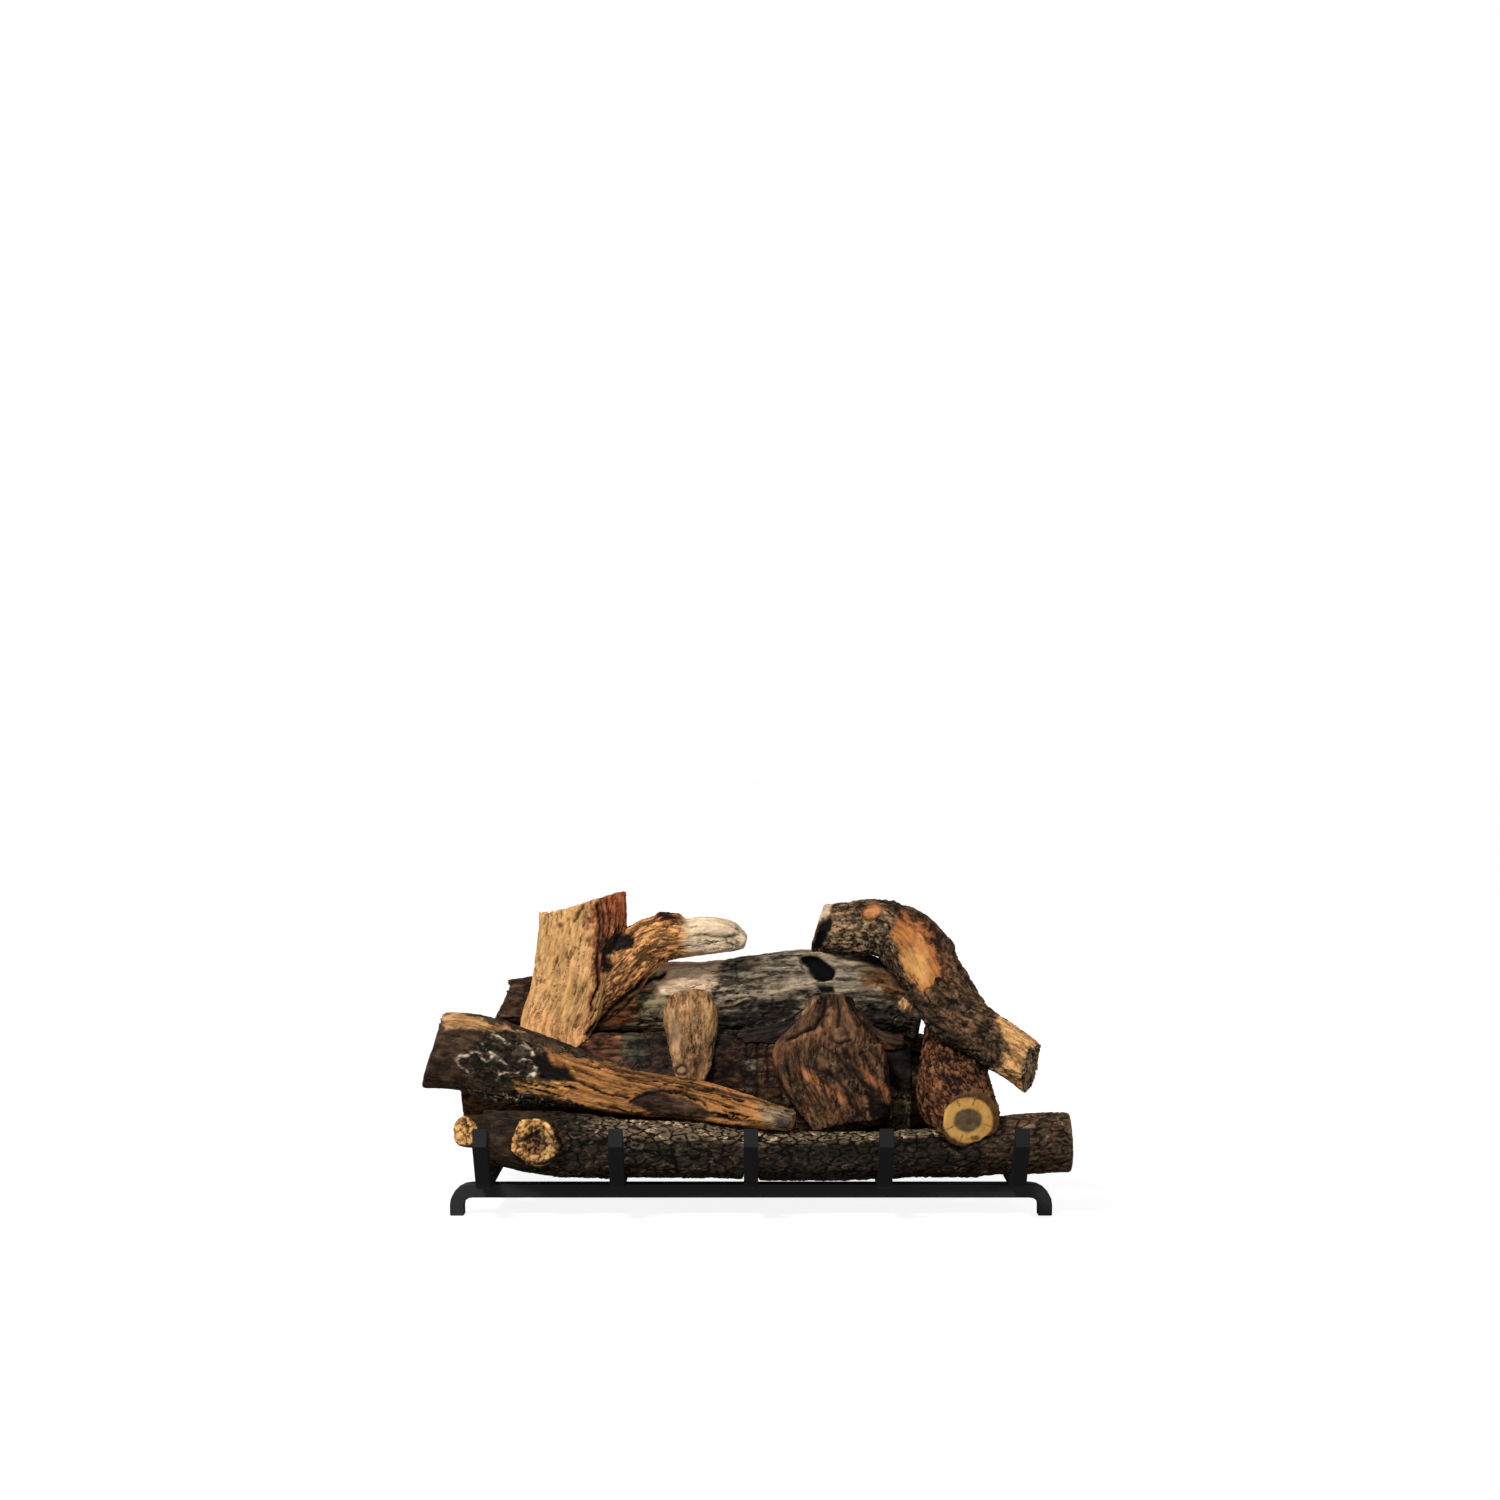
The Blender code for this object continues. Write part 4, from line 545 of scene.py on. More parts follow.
class Region:
    """A patch of a log with its own colour and carving."""

    def __init__(self, name, where, colour, contrast=0.6, plates=0.0, lumps=0.4, grain=0.0, sink=0.0,
                 rims=0.0, brush=0.15, accent=None, amount=0.5):
        self.name, self.where, self.colour, self.contrast = name, where, colour, contrast
        self.plates, self.lumps, self.grain, self.sink, self.rims = plates, lumps, grain, sink, rims
        self.brush, self.accent, self.amount = brush, accent, amount


def shades(colour, contrast):
    """Dark, middle and light stops round a colour."""
    cream = settings("colours").cream
    dark = tuple(part * (1 - 0.93 * contrast) for part in colour)
    chalk = min(0.10, 0.75 * sum(colour)) * contrast
    light = tuple(
        min(1, part * (1 + 0.55 * contrast) + (pale - part) * chalk)
        for part, pale in zip(colour, cream)
    )
    return [(0.24, dark), (0.50, tuple(colour)), (0.80, light)]


def log_material(name, relief, base, regions):
    """Painted refractory: region colours toned by the carving as painted shade and highlight, cracks
    darkened as soot and painted shade, pale rims as drybrush and painted glints.
    """
    material = bpy.data.materials.new(name)
    material.use_nodes = True
    graph = Graph(material.node_tree)
    shader = material.node_tree.nodes["Principled BSDF"]
    colours = settings("colours")

    def read(attribute_name, output=2):
        return graph.add("ShaderNodeAttribute", {"attribute_name": attribute_name}, None, output)

    flow = read("flow", 1)
    grain = read("grain")
    rough_tone = graph.noise(stretched(graph, flow, relief.rough, relief.rough_stretch), 9, 0.68, 0.3)
    fibres = stretched(graph, flow, relief.grain * 0.75, relief.grain_stretch * 1.2)
    fibre_tone = graph.noise(fibres, 7, 0.66, 0.2)
    bands = graph.noise(stretched(graph, flow, BAND_SIZE, 9), 5, 0.6, 0.3)
    fibre_tone = fibre_tone * 0.55 + bands * 0.55 - 0.05
    tone = rough_tone + (fibre_tone - rough_tone) * grain.joined("MINIMUM", grain, 1.0)
    blotch = graph.noise(stretched(graph, flow, BLOTCH_SIZE, 1.5), 4, 0.6)
    # Low parts of the carving painted darker and raised parts lighter: painted shade and highlight
    height = read("height").spread(-TONE_HEIGHT, TONE_HEIGHT, -0.5, 0.5)
    tone = (tone - 0.5) * 1.6 + height * 0.55 + (blotch - 0.5) * 0.5 + 0.5
    stain = graph.noise(stretched(graph, flow, STAIN_SIZE, 1.6), 6, 0.7, 0.4).spread(0.47, 0.62)

    def painted(region):
        """A region's colour, stained with its accent where it has one."""
        made = graph.ramp(tone, shades(region.colour, region.contrast))
        if region.accent:
            accent = graph.ramp(tone, shades(region.accent, region.contrast))
            made = graph.mix(stain * region.amount, made, accent)
        return made

    colour = painted(base)
    for region in regions:
        colour = graph.mix(read("mask_" + region.name), colour, painted(region))
    # Cracks, grooves and furrows darkened towards soot: partly char, partly painted shade in the recesses
    colour = graph.mix(read("hollow") * 0.92, colour, (*colours.soot_and_shade, 1))
    # Pale rims by the cracks, curly lines and flecks on peaks, mixed towards cream: partly worn paint and
    # drybrush, partly painted glints
    edge = read("edge")
    beside = relief.crack + RIM_WIDTH / relief.plate
    rim = edge.spread(relief.crack * 0.7, relief.crack * 1.1) * edge.spread(beside * 1.4, beside)
    curl = graph.noise(stretched(graph, flow, CURL_SIZE, 2.4), 2, 0.5, 0.6)
    line = (curl - 0.5).size().spread(0.0, 0.030, 1.0, 0.0)
    broken = graph.noise(graph.scaled(flow, RIM_BREAKUP_RATE), 6, 0.72).spread(0.52, 0.66)
    specks = graph.noise(graph.scaled(flow, SPECK_RATE), 3, 0.6).spread(0.56, 0.66)
    patches = graph.noise(graph.scaled(flow, PATCH_RATE), 4, 0.6).spread(0.45, 0.6)
    peaks = read("height").spread(*PEAK_HEIGHTS) * specks * patches
    rim_wear_and_glints = (rim * (broken + 0.2)).joined("MAXIMUM", rim * (broken + 0.2), line * broken) * read("rims")
    pale = rim_wear_and_glints.joined("MAXIMUM", rim_wear_and_glints, peaks * read("brush"))
    colour = graph.mix(pale, colour, (*colours.cream, 1))
    material.node_tree.links.new(colour.socket, shader.inputs["Base Color"])
    roughness = tone.spread(0.2, 0.9, 0.80, 0.52)
    material.node_tree.links.new(roughness.socket, shader.inputs["Roughness"])
    fine = graph.noise(stretched(graph, flow, PITTING_SIZE, 1.8), 6, 0.7)
    threads = graph.noise(stretched(graph, flow, THREAD_SIZE, 12), 4, 0.6)
    fine = fine + (threads - fine) * grain
    inputs = {"Strength": 0.9, "Distance": BUMP_HEIGHT, "Height": fine}
    bump = graph.add("ShaderNodeBump", None, inputs)
    material.node_tree.links.new(bump.socket, shader.inputs["Normal"])
    shader.inputs["Specular IOR Level"].default_value = 0.1
    return material


def evened_copy(node, grid):
    """A copy of a CAD node's mesh, merged, rounded between its creases and evenly meshed."""
    bm = bmesh.new()
    bm.from_mesh(frame["nodes"][node].data)
    bmesh.ops.remove_doubles(bm, verts=bm.verts, dist=MERGE_DISTANCE)
    bmesh.ops.join_triangles(
        bm, faces=bm.faces, angle_face_threshold=JOIN_ANGLE, angle_shape_threshold=JOIN_SKEW
    )
    crease = bm.edges.layers.float.new("crease_edge")
    for line in bm.edges:
        if len(line.link_faces) == 2 and line.calc_face_angle(0) > CREASE_ANGLE:
            line[crease] = 1
    mesh = bpy.data.meshes.new(node + "_copy")
    bm.to_mesh(mesh)
    bm.free()
    obj = bpy.data.objects.new(node + "_copy", mesh)
    bpy.context.scene.collection.objects.link(obj)
    rounding = obj.modifiers.new("rounding", "SUBSURF")
    rounding.levels = rounding.render_levels = ROUNDING_LEVELS
    even = obj.modifiers.new("even", "REMESH")
    even.mode = "VOXEL"
    even.voxel_size = grid
    made = evaluated(obj, node + "_even")
    bpy.data.objects.remove(obj)
    bpy.data.meshes.remove(mesh)
    return made


def evaluated(obj, name):
    """The mesh of an object with its modifiers applied."""
    graph = bpy.context.evaluated_depsgraph_get()
    mesh = bpy.data.meshes.new_from_object(obj.evaluated_get(graph), depsgraph=graph)
    mesh.name = name
    return mesh


def store(mesh, name, values, kind="FLOAT"):
    """A point attribute."""
    layer = mesh.attributes.new(name, kind, "POINT")
    key = "vector" if kind == "FLOAT_VECTOR" else "value"
    layer.data.foreach_set(key, np.ascontiguousarray(values, np.float32).ravel())


def body_with(node):
    """The CAD body that holds a node."""
    bodies = frame["record"]["behaviour"]["bodies"]
    return next(name for name, nodes in bodies.items() if node in nodes)


def settings(name):
    """One of the add-on's groups of settings."""
    return getattr(bpy.context.scene, "log_set_" + name)


def carve_log(node, grid, paths, relief, base, regions, seed):
    """Dresses one log: an even copy of its solid, its masks, its carving and its finish."""
    sizes = settings("sizes")
    mesh = evened_copy(node, grid)
    skin = Skin(mesh, paths)
    flow = np.stack([skin.along + skin.limb * LIMB_GAP, skin.across, skin.over], axis=1)
    store(mesh, "flow", flow, "FLOAT_VECTOR")
    count = len(mesh.vertices)
    keys = ("plates", "lumps", "grain", "sink", "rims", "brush")
    levels = {key: np.full(count, float(getattr(base, key))) for key in keys}
    for region in regions:
        mask = region.where(skin)
        store(mesh, "mask_" + region.name, mask)
        for key, level in levels.items():
            levels[key] = level + (getattr(region, key) - level) * mask
    for key, level in levels.items():
        store(mesh, key, level)
    obj = bpy.data.objects.new(node + "_carved", mesh)
    bpy.context.scene.collection.objects.link(obj)
    tree = relief_tree(relief)
    carving = obj.modifiers.new("carving", "NODES")
    carving.node_group = tree
    values = {
        "Blur Steps": sizes.blur_steps, "Crack Depth": sizes.crack_depth, "Rough Depth": sizes.rough_depth,
        "Grain Depth": sizes.grain_depth, "Seed": float(seed),
        "Material": log_material(node + "_finish", relief, base, regions),
    }
    for item in tree.interface.items_tree:
        if item.in_out == "INPUT" and item.name in values:
            carving[item.identifier] = values[item.name]
    carved = evaluated(obj, node + "_carved")
    obj.modifiers.remove(carving)
    obj.data = carved
    bpy.data.meshes.remove(mesh)
    bpy.data.node_groups.remove(tree)
    carved.shade_smooth()
    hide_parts(node)
    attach(obj, body_with(node))
    return obj


class LOGSET_OT_front_log(bpy.types.Operator):
    """Carve the front log with its two sawn stubs"""

    bl_idname = "log_set.front_log"
    bl_label = "Front Log"

    def execute(self, context):
        colours = settings("colours")
        paths = [
            Path([
                (-0.263, -0.104, 0.0809, 0.022, 0.024), (-0.232, -0.104, 0.0761, 0.028, 0.0285),
                (-0.183, -0.104, 0.071, 0.031, 0.032), (-0.124, -0.104, 0.0674, 0.030, 0.029),
                (-0.045, -0.104, 0.0662, 0.0285, 0.028), (0.014, -0.104, 0.062, 0.027, 0.025),
                (0.083, -0.104, 0.0602, 0.026, 0.024), (0.151, -0.104, 0.062, 0.025, 0.023),
                (0.210, -0.104, 0.0659, 0.027, 0.0255), (0.259, -0.103, 0.0725, 0.029, 0.029),
                (0.320, -0.102, 0.0749, 0.030, 0.030),
            ]),
            Path([(-0.196, -0.098, 0.076, 0.023, 0.023), (-0.2052, -0.144, 0.082, 0.0245, 0.0245)]),
            Path([(-0.256, -0.104, 0.084, 0.0165, 0.0165), (-0.274, -0.136, 0.090, 0.016, 0.016)]),
        ]
        base = Region("base", None, colours.front_bark, 0.95, plates=0.6, lumps=1.0, rims=0.14, brush=0.28,
                      accent=plain(46, 31, 20))
        stub, small_stub = 1, 2
        crown = both(stretch_of(TRUNK, 0.20, 0.84, 0.03), side_of((0, -0.45, 1), 0.62, 0.9))
        right_low = both(stretch_of(TRUNK, 0.50, 0.86, 0.04), side_of((0, -1, -0.2), 0.4, 0.8))
        stub_heart_oval = (537, 1140, 14, 12)
        stub_shade_oval = (559, 1141, 7, 19)
        regions = [
            # The top, facing up and forward, painted lighter with dense pale rims and flecks: painted
            # highlight from the light above
            Region("crown", crown, plain(50, 36, 26), 0.98, plates=0.5, lumps=1.2, rims=1.0, brush=1.2),
            # The front face of the right half, turned slightly down, painted near-black: painted shade
            Region("right_low", right_low, plain(20, 14, 10), 0.95, plates=0.6, lumps=1.0, rims=0.1,
                   brush=0.2),
            Region("stub_bark", stretch_of(stub, BEFORE, BEYOND), colours.stub_bark, 0.6, plates=0.0,
                   lumps=0.5),
            Region("small_bark", stretch_of(small_stub, BEFORE, BEYOND), colours.stub_bark, 0.6, plates=0.0,
                   lumps=0.5),
            Region("left_end", stretch_of(TRUNK, -0.1, 0.09), colours.stub_bark, 0.7, plates=0.2,
                   lumps=0.7),
            Region("right_end", stretch_of(TRUNK, 0.86, BEYOND, 0.05), plain(78, 53, 36), 0.9, plates=0.3,
                   lumps=0.9, rims=0.3),
            Region("stub_face", sawn(stub, STOP), colours.sawn_tan, 0.82, lumps=1.1, plates=0.2),
            Region("stub_heart", spot(stub_heart_oval, 0, 6, 5), plain(116, 76, 42), 1.0, lumps=1.6),
            Region("stub_shade", spot(stub_shade_oval, 0, 5, 4), plain(74, 50, 33), 1.0, lumps=1.3),
            Region("small_face", sawn(small_stub, STOP), colours.sawn_tan, 0.95, lumps=1.0, plates=0.2),
            Region("right_face", sawn(TRUNK, STOP), plain(150, 108, 68), 0.6, lumps=0.3),
        ]
        relief = Relief(plate=0.0064, stretch=2.3, crack=0.10, rise=0.5)
        carve_log("front_log", settings("sizes").grid, paths, relief, base, regions, seed=3)
        return {"FINISHED"}


class LOGSET_OT_middle_log(bpy.types.Operator):
    """Carve the charred middle log"""

    bl_idname = "log_set.middle_log"
    bl_label = "Middle Log"

    def execute(self, context):
        colours = settings("colours")
        paths = [Path([
            (-0.290, 0.006, 0.100, 0.031, 0.037), (-0.253, 0.006, 0.103, 0.040, 0.050),
            (-0.198, 0.006, 0.106, 0.046, 0.057), (-0.061, 0.006, 0.1075, 0.049, 0.061),
            (0.076, 0.006, 0.106, 0.048, 0.060), (0.168, 0.006, 0.103, 0.042, 0.051),
        ])]
        base = Region("base", None, colours.block_char, 0.95, plates=0.9, lumps=0.8, grain=0.3, rims=0.15,
                      brush=0.3, accent=plain(90, 56, 34))
        left_block = [(556, 1030), (621, 1030), (621, 1064), (596, 1064), (566, 1052)]
        top_edge = [(560, 1043), (590, 1039), (621, 1037)]
        grey_block = [(622, 1036), (643, 1035), (645, 1062), (624, 1060)]
        dark_block = [(645, 1036), (668, 1035), (668, 1075), (645, 1070)]
        under_chip = [(700, 1040), (738, 1036), (742, 1080), (772, 1100), (720, 1090), (698, 1076)]
        squares = [(735, 1040), (800, 1036), (800, 1100), (760, 1098), (735, 1090)]
        upright, level = 0.0024, 0.0020
        cracks = [
            ([(746, 1042), (747, 1060), (745, 1092)], 2.2, upright),
            ([(757, 1040), (756, 1070), (757, 1100)], 2.6, upright),
            ([(768, 1042), (767, 1072), (768, 1090)], 2.2, upright),
            ([(781, 1046), (781, 1072), (783, 1102)], 2.6, upright),
            ([(740, 1056), (757, 1058), (782, 1055)], 1.8, level),
            ([(740, 1073), (757, 1071), (782, 1072)], 1.8, level),
            ([(746, 1086), (768, 1088), (790, 1086)], 1.8, level),
        ]
        pale_square = [(746, 1060), (756, 1060), (755, 1070), (747, 1070)]
        shaded = [(880, 1020), (940, 1020), (940, 1092), (880, 1092)]
        lichen = [(786, 1072), (800, 1070), (818, 1092), (818, 1110), (792, 1106), (784, 1094)]
        pale_blocks = [(893, 1092), (935, 1100), (942, 1135), (890, 1135)]
        regions = [
            Region("left_end", stretch_of(TRUNK, BEFORE, 0.12, 0.03), plain(104, 66, 40), 0.9, lumps=0.8,
                   grain=0.3, rims=0.05),
            Region("left_block", outline(left_block, 3), plain(92, 58, 38), 0.95, plates=0.2, lumps=0.9,
                   grain=0.4, brush=0.1),
            Region("top_edge", stroke(top_edge, 2.6), plain(158, 104, 68), 0.9, lumps=0.8),
            Region("grey_block", outline(grey_block, 1.5, 2), plain(70, 66, 52), 0.9, plates=0.3,
                   lumps=0.9),
            Region("dark_block", outline(dark_block, 2, 3), plain(54, 38, 30), 0.9, plates=1.2, lumps=0.5),
            Region("under_chip", outline(under_chip), plain(38, 26, 19), 0.95, plates=0.5, lumps=0.9,
                   accent=plain(76, 48, 30)),
            Region("squares", outline(squares), plain(72, 45, 30), 0.95, plates=0.5, lumps=1.0, rims=0.08),
            *[
                Region(f"crack_{i}", stroke(line, width, 1.2, 2), colours.soot_and_shade, 0.3, sink=depth)
                for i, (line, width, depth) in enumerate(cracks, 1)
            ],
            Region("pale_square", outline(pale_square, 1.5, 1.5), plain(132, 122, 98), 0.9, lumps=1.0),
            Region("shaded", outline(shaded, 5), plain(28, 20, 15), 0.9, plates=0.5, lumps=0.7),
            Region("lichen", outline(lichen), plain(140, 138, 108), 0.8, plates=0.8, lumps=0.7, rims=0.8),
            Region("pale_blocks", outline(pale_blocks), plain(124, 108, 84), 0.9, plates=1.3, lumps=0.6,
                   rims=0.8),
        ]
        relief = Relief(plate=0.014, stretch=0.8, crack=0.055, rough=0.012, grain_stretch=7)
        carve_log("middle_log", settings("sizes").grid, paths, relief, base, regions, seed=12)
        return {"FINISHED"}


class LOGSET_OT_rear_logs(bpy.types.Operator):
    """Carve the grey rear log and the log under it"""

    bl_idname = "log_set.rear_logs"
    bl_label = "Rear Logs"

    def execute(self, context):
        colours = settings("colours")
        paths = [Path([
            (-0.256, 0.059, 0.190, 0.026, 0.028), (-0.222, 0.059, 0.190, 0.032, 0.032),
            (-0.144, 0.059, 0.194, 0.040, 0.040), (-0.044, 0.059, 0.196, 0.043, 0.042),
            (0.058, 0.059, 0.199, 0.045, 0.049), (0.111, 0.059, 0.1985, 0.044, 0.0465),
            (0.138, 0.059, 0.195, 0.042, 0.042), (0.177, 0.059, 0.189, 0.035, 0.034),
        ])]
        base = Region("base", None, colours.grey_char, 0.92, plates=0.1, lumps=0.6, grain=1.1, rims=0.15,
                      brush=0.6, accent=plain(92, 72, 54), amount=0.6)
        hole = [(798, 956), (817, 955), (836, 968), (832, 980), (819, 982), (809, 972)]
        lower_hole = [(817, 985), (832, 985), (835, 993), (820, 994)]
        tan = [
            (652, 946), (700, 940), (722, 944), (720, 976), (712, 994), (692, 993), (672, 998), (655, 988),
        ]
        brown = [
            (588, 1028), (600, 1006), (620, 988), (637, 982), (650, 990), (658, 1002), (640, 1016),
            (612, 1030),
        ]
        moss = [(638, 990), (655, 986), (668, 998), (664, 1014), (642, 1024), (634, 1012)]
        ledge = [(716, 1007), (740, 1001), (765, 996), (792, 988)]
        burnt = [(716, 1011), (750, 1005), (792, 994), (802, 1006), (790, 1022), (740, 1032), (718, 1026)]
        gap = [(663, 973), (640, 985), (612, 1010), (592, 1032), (620, 1034), (640, 1033)]
        orange = [(868, 962), (886, 962), (904, 976), (912, 992), (900, 1000), (880, 990), (862, 986)]
        dark_top = [(726, 962), (750, 960), (758, 970), (744, 980), (728, 974)]
        low_right = [(860, 1002), (900, 1008), (926, 1018), (922, 1044), (880, 1042), (860, 1030)]
        regions = [
            Region("left_end", stretch_of(TRUNK, -0.2, 0.2, 0.03), plain(84, 58, 42), 0.8, plates=0.4,
                   lumps=1.0, grain=0.2),
            Region("dark_top", outline(dark_top, 6), plain(112, 103, 88), 0.98, plates=0.4, lumps=0.8,
                   grain=0.5),
            Region("burnt", outline(burnt, 5), plain(42, 40, 36), 0.95, lumps=0.6, grain=1.0, rims=0.12),
            # The lower right of the rear log painted dark: painted shade
            Region("low_right", outline(low_right, 6), plain(50, 46, 41), 0.98, lumps=0.7, grain=1.1,
                   rims=0.2),
            Region("tan", outline(tan, 3, 4), plain(250, 214, 176), 0.55, lumps=0.5, grain=1.0,
                   sink=-0.001),
            Region("brown", outline(brown, 3), plain(240, 158, 102), 0.85, lumps=1.0, grain=0.6, rims=0.1),
            Region("moss", outline(moss, 3), plain(136, 122, 88), 0.95, lumps=0.9, grain=0.7, rims=0.3),
            # A black band on the rear log just under the branch, sunk a little: painted shadow of the
            # branch
            Region("gap", stroke(gap, 6, 2, 3), colours.soot_and_shade, 0.5, sink=0.001, lumps=0.2, brush=0),
            Region("ledge", stroke(ledge, 3, 1.5, 3), plain(172, 152, 120), 0.8, lumps=0.4, grain=0.6,
                   sink=-0.0012),
            Region("orange", outline(orange, 5), plain(134, 92, 56), 0.9, lumps=0.7, grain=0.9),
            Region("shoulder", both(stretch_of(TRUNK, 0.84, 0.97), side_of((0, 0, 1), 0.5, 0.8)),
                   plain(112, 92, 70), 0.95, lumps=0.6, grain=0.9, sink=-0.0016),
            # The right end face painted near-black and pushed out: painted shade
            Region("right_end", sawn(TRUNK, STOP), plain(34, 28, 23), 0.8, lumps=0.6, sink=-0.0065),
            Region("hole", outline(hole, 2, 2), plain(0, 0, 0), 0, sink=0.002, lumps=0.1, brush=0),
            Region("lower_hole", outline(lower_hole, 2, 2), plain(4, 4, 4), 0, sink=0.004, lumps=0.1,
                   brush=0),
        ]
        relief = Relief(plate=0.010, stretch=1.6, grain=0.0055, grain_stretch=7, rough=0.013)
        carve_log("rear_log", settings("sizes").grid, paths, relief, base, regions, seed=31)
        paths = [Path([
            (-0.226, 0.112, 0.100, 0.047, 0.050), (-0.092, 0.112, 0.104, 0.054, 0.058),
            (0.088, 0.112, 0.104, 0.053, 0.058), (0.222, 0.112, 0.101, 0.047, 0.051),
        ])]
        base = Region("base", None, plain(78, 58, 42), 0.8, plates=0.8, lumps=0.8, rims=0.2)
        ends = [
            Region(f"end_{end}", sawn(TRUNK, end), plain(150, 112, 72), 0.6, lumps=0.4)
            for end in (START, STOP)
        ]
        relief = Relief(plate=0.014, stretch=2.0, rough=0.014)
        carve_log("rear_base_log", settings("sizes").coarse_grid, paths, relief, base, ends, seed=21)
        return {"FINISHED"}


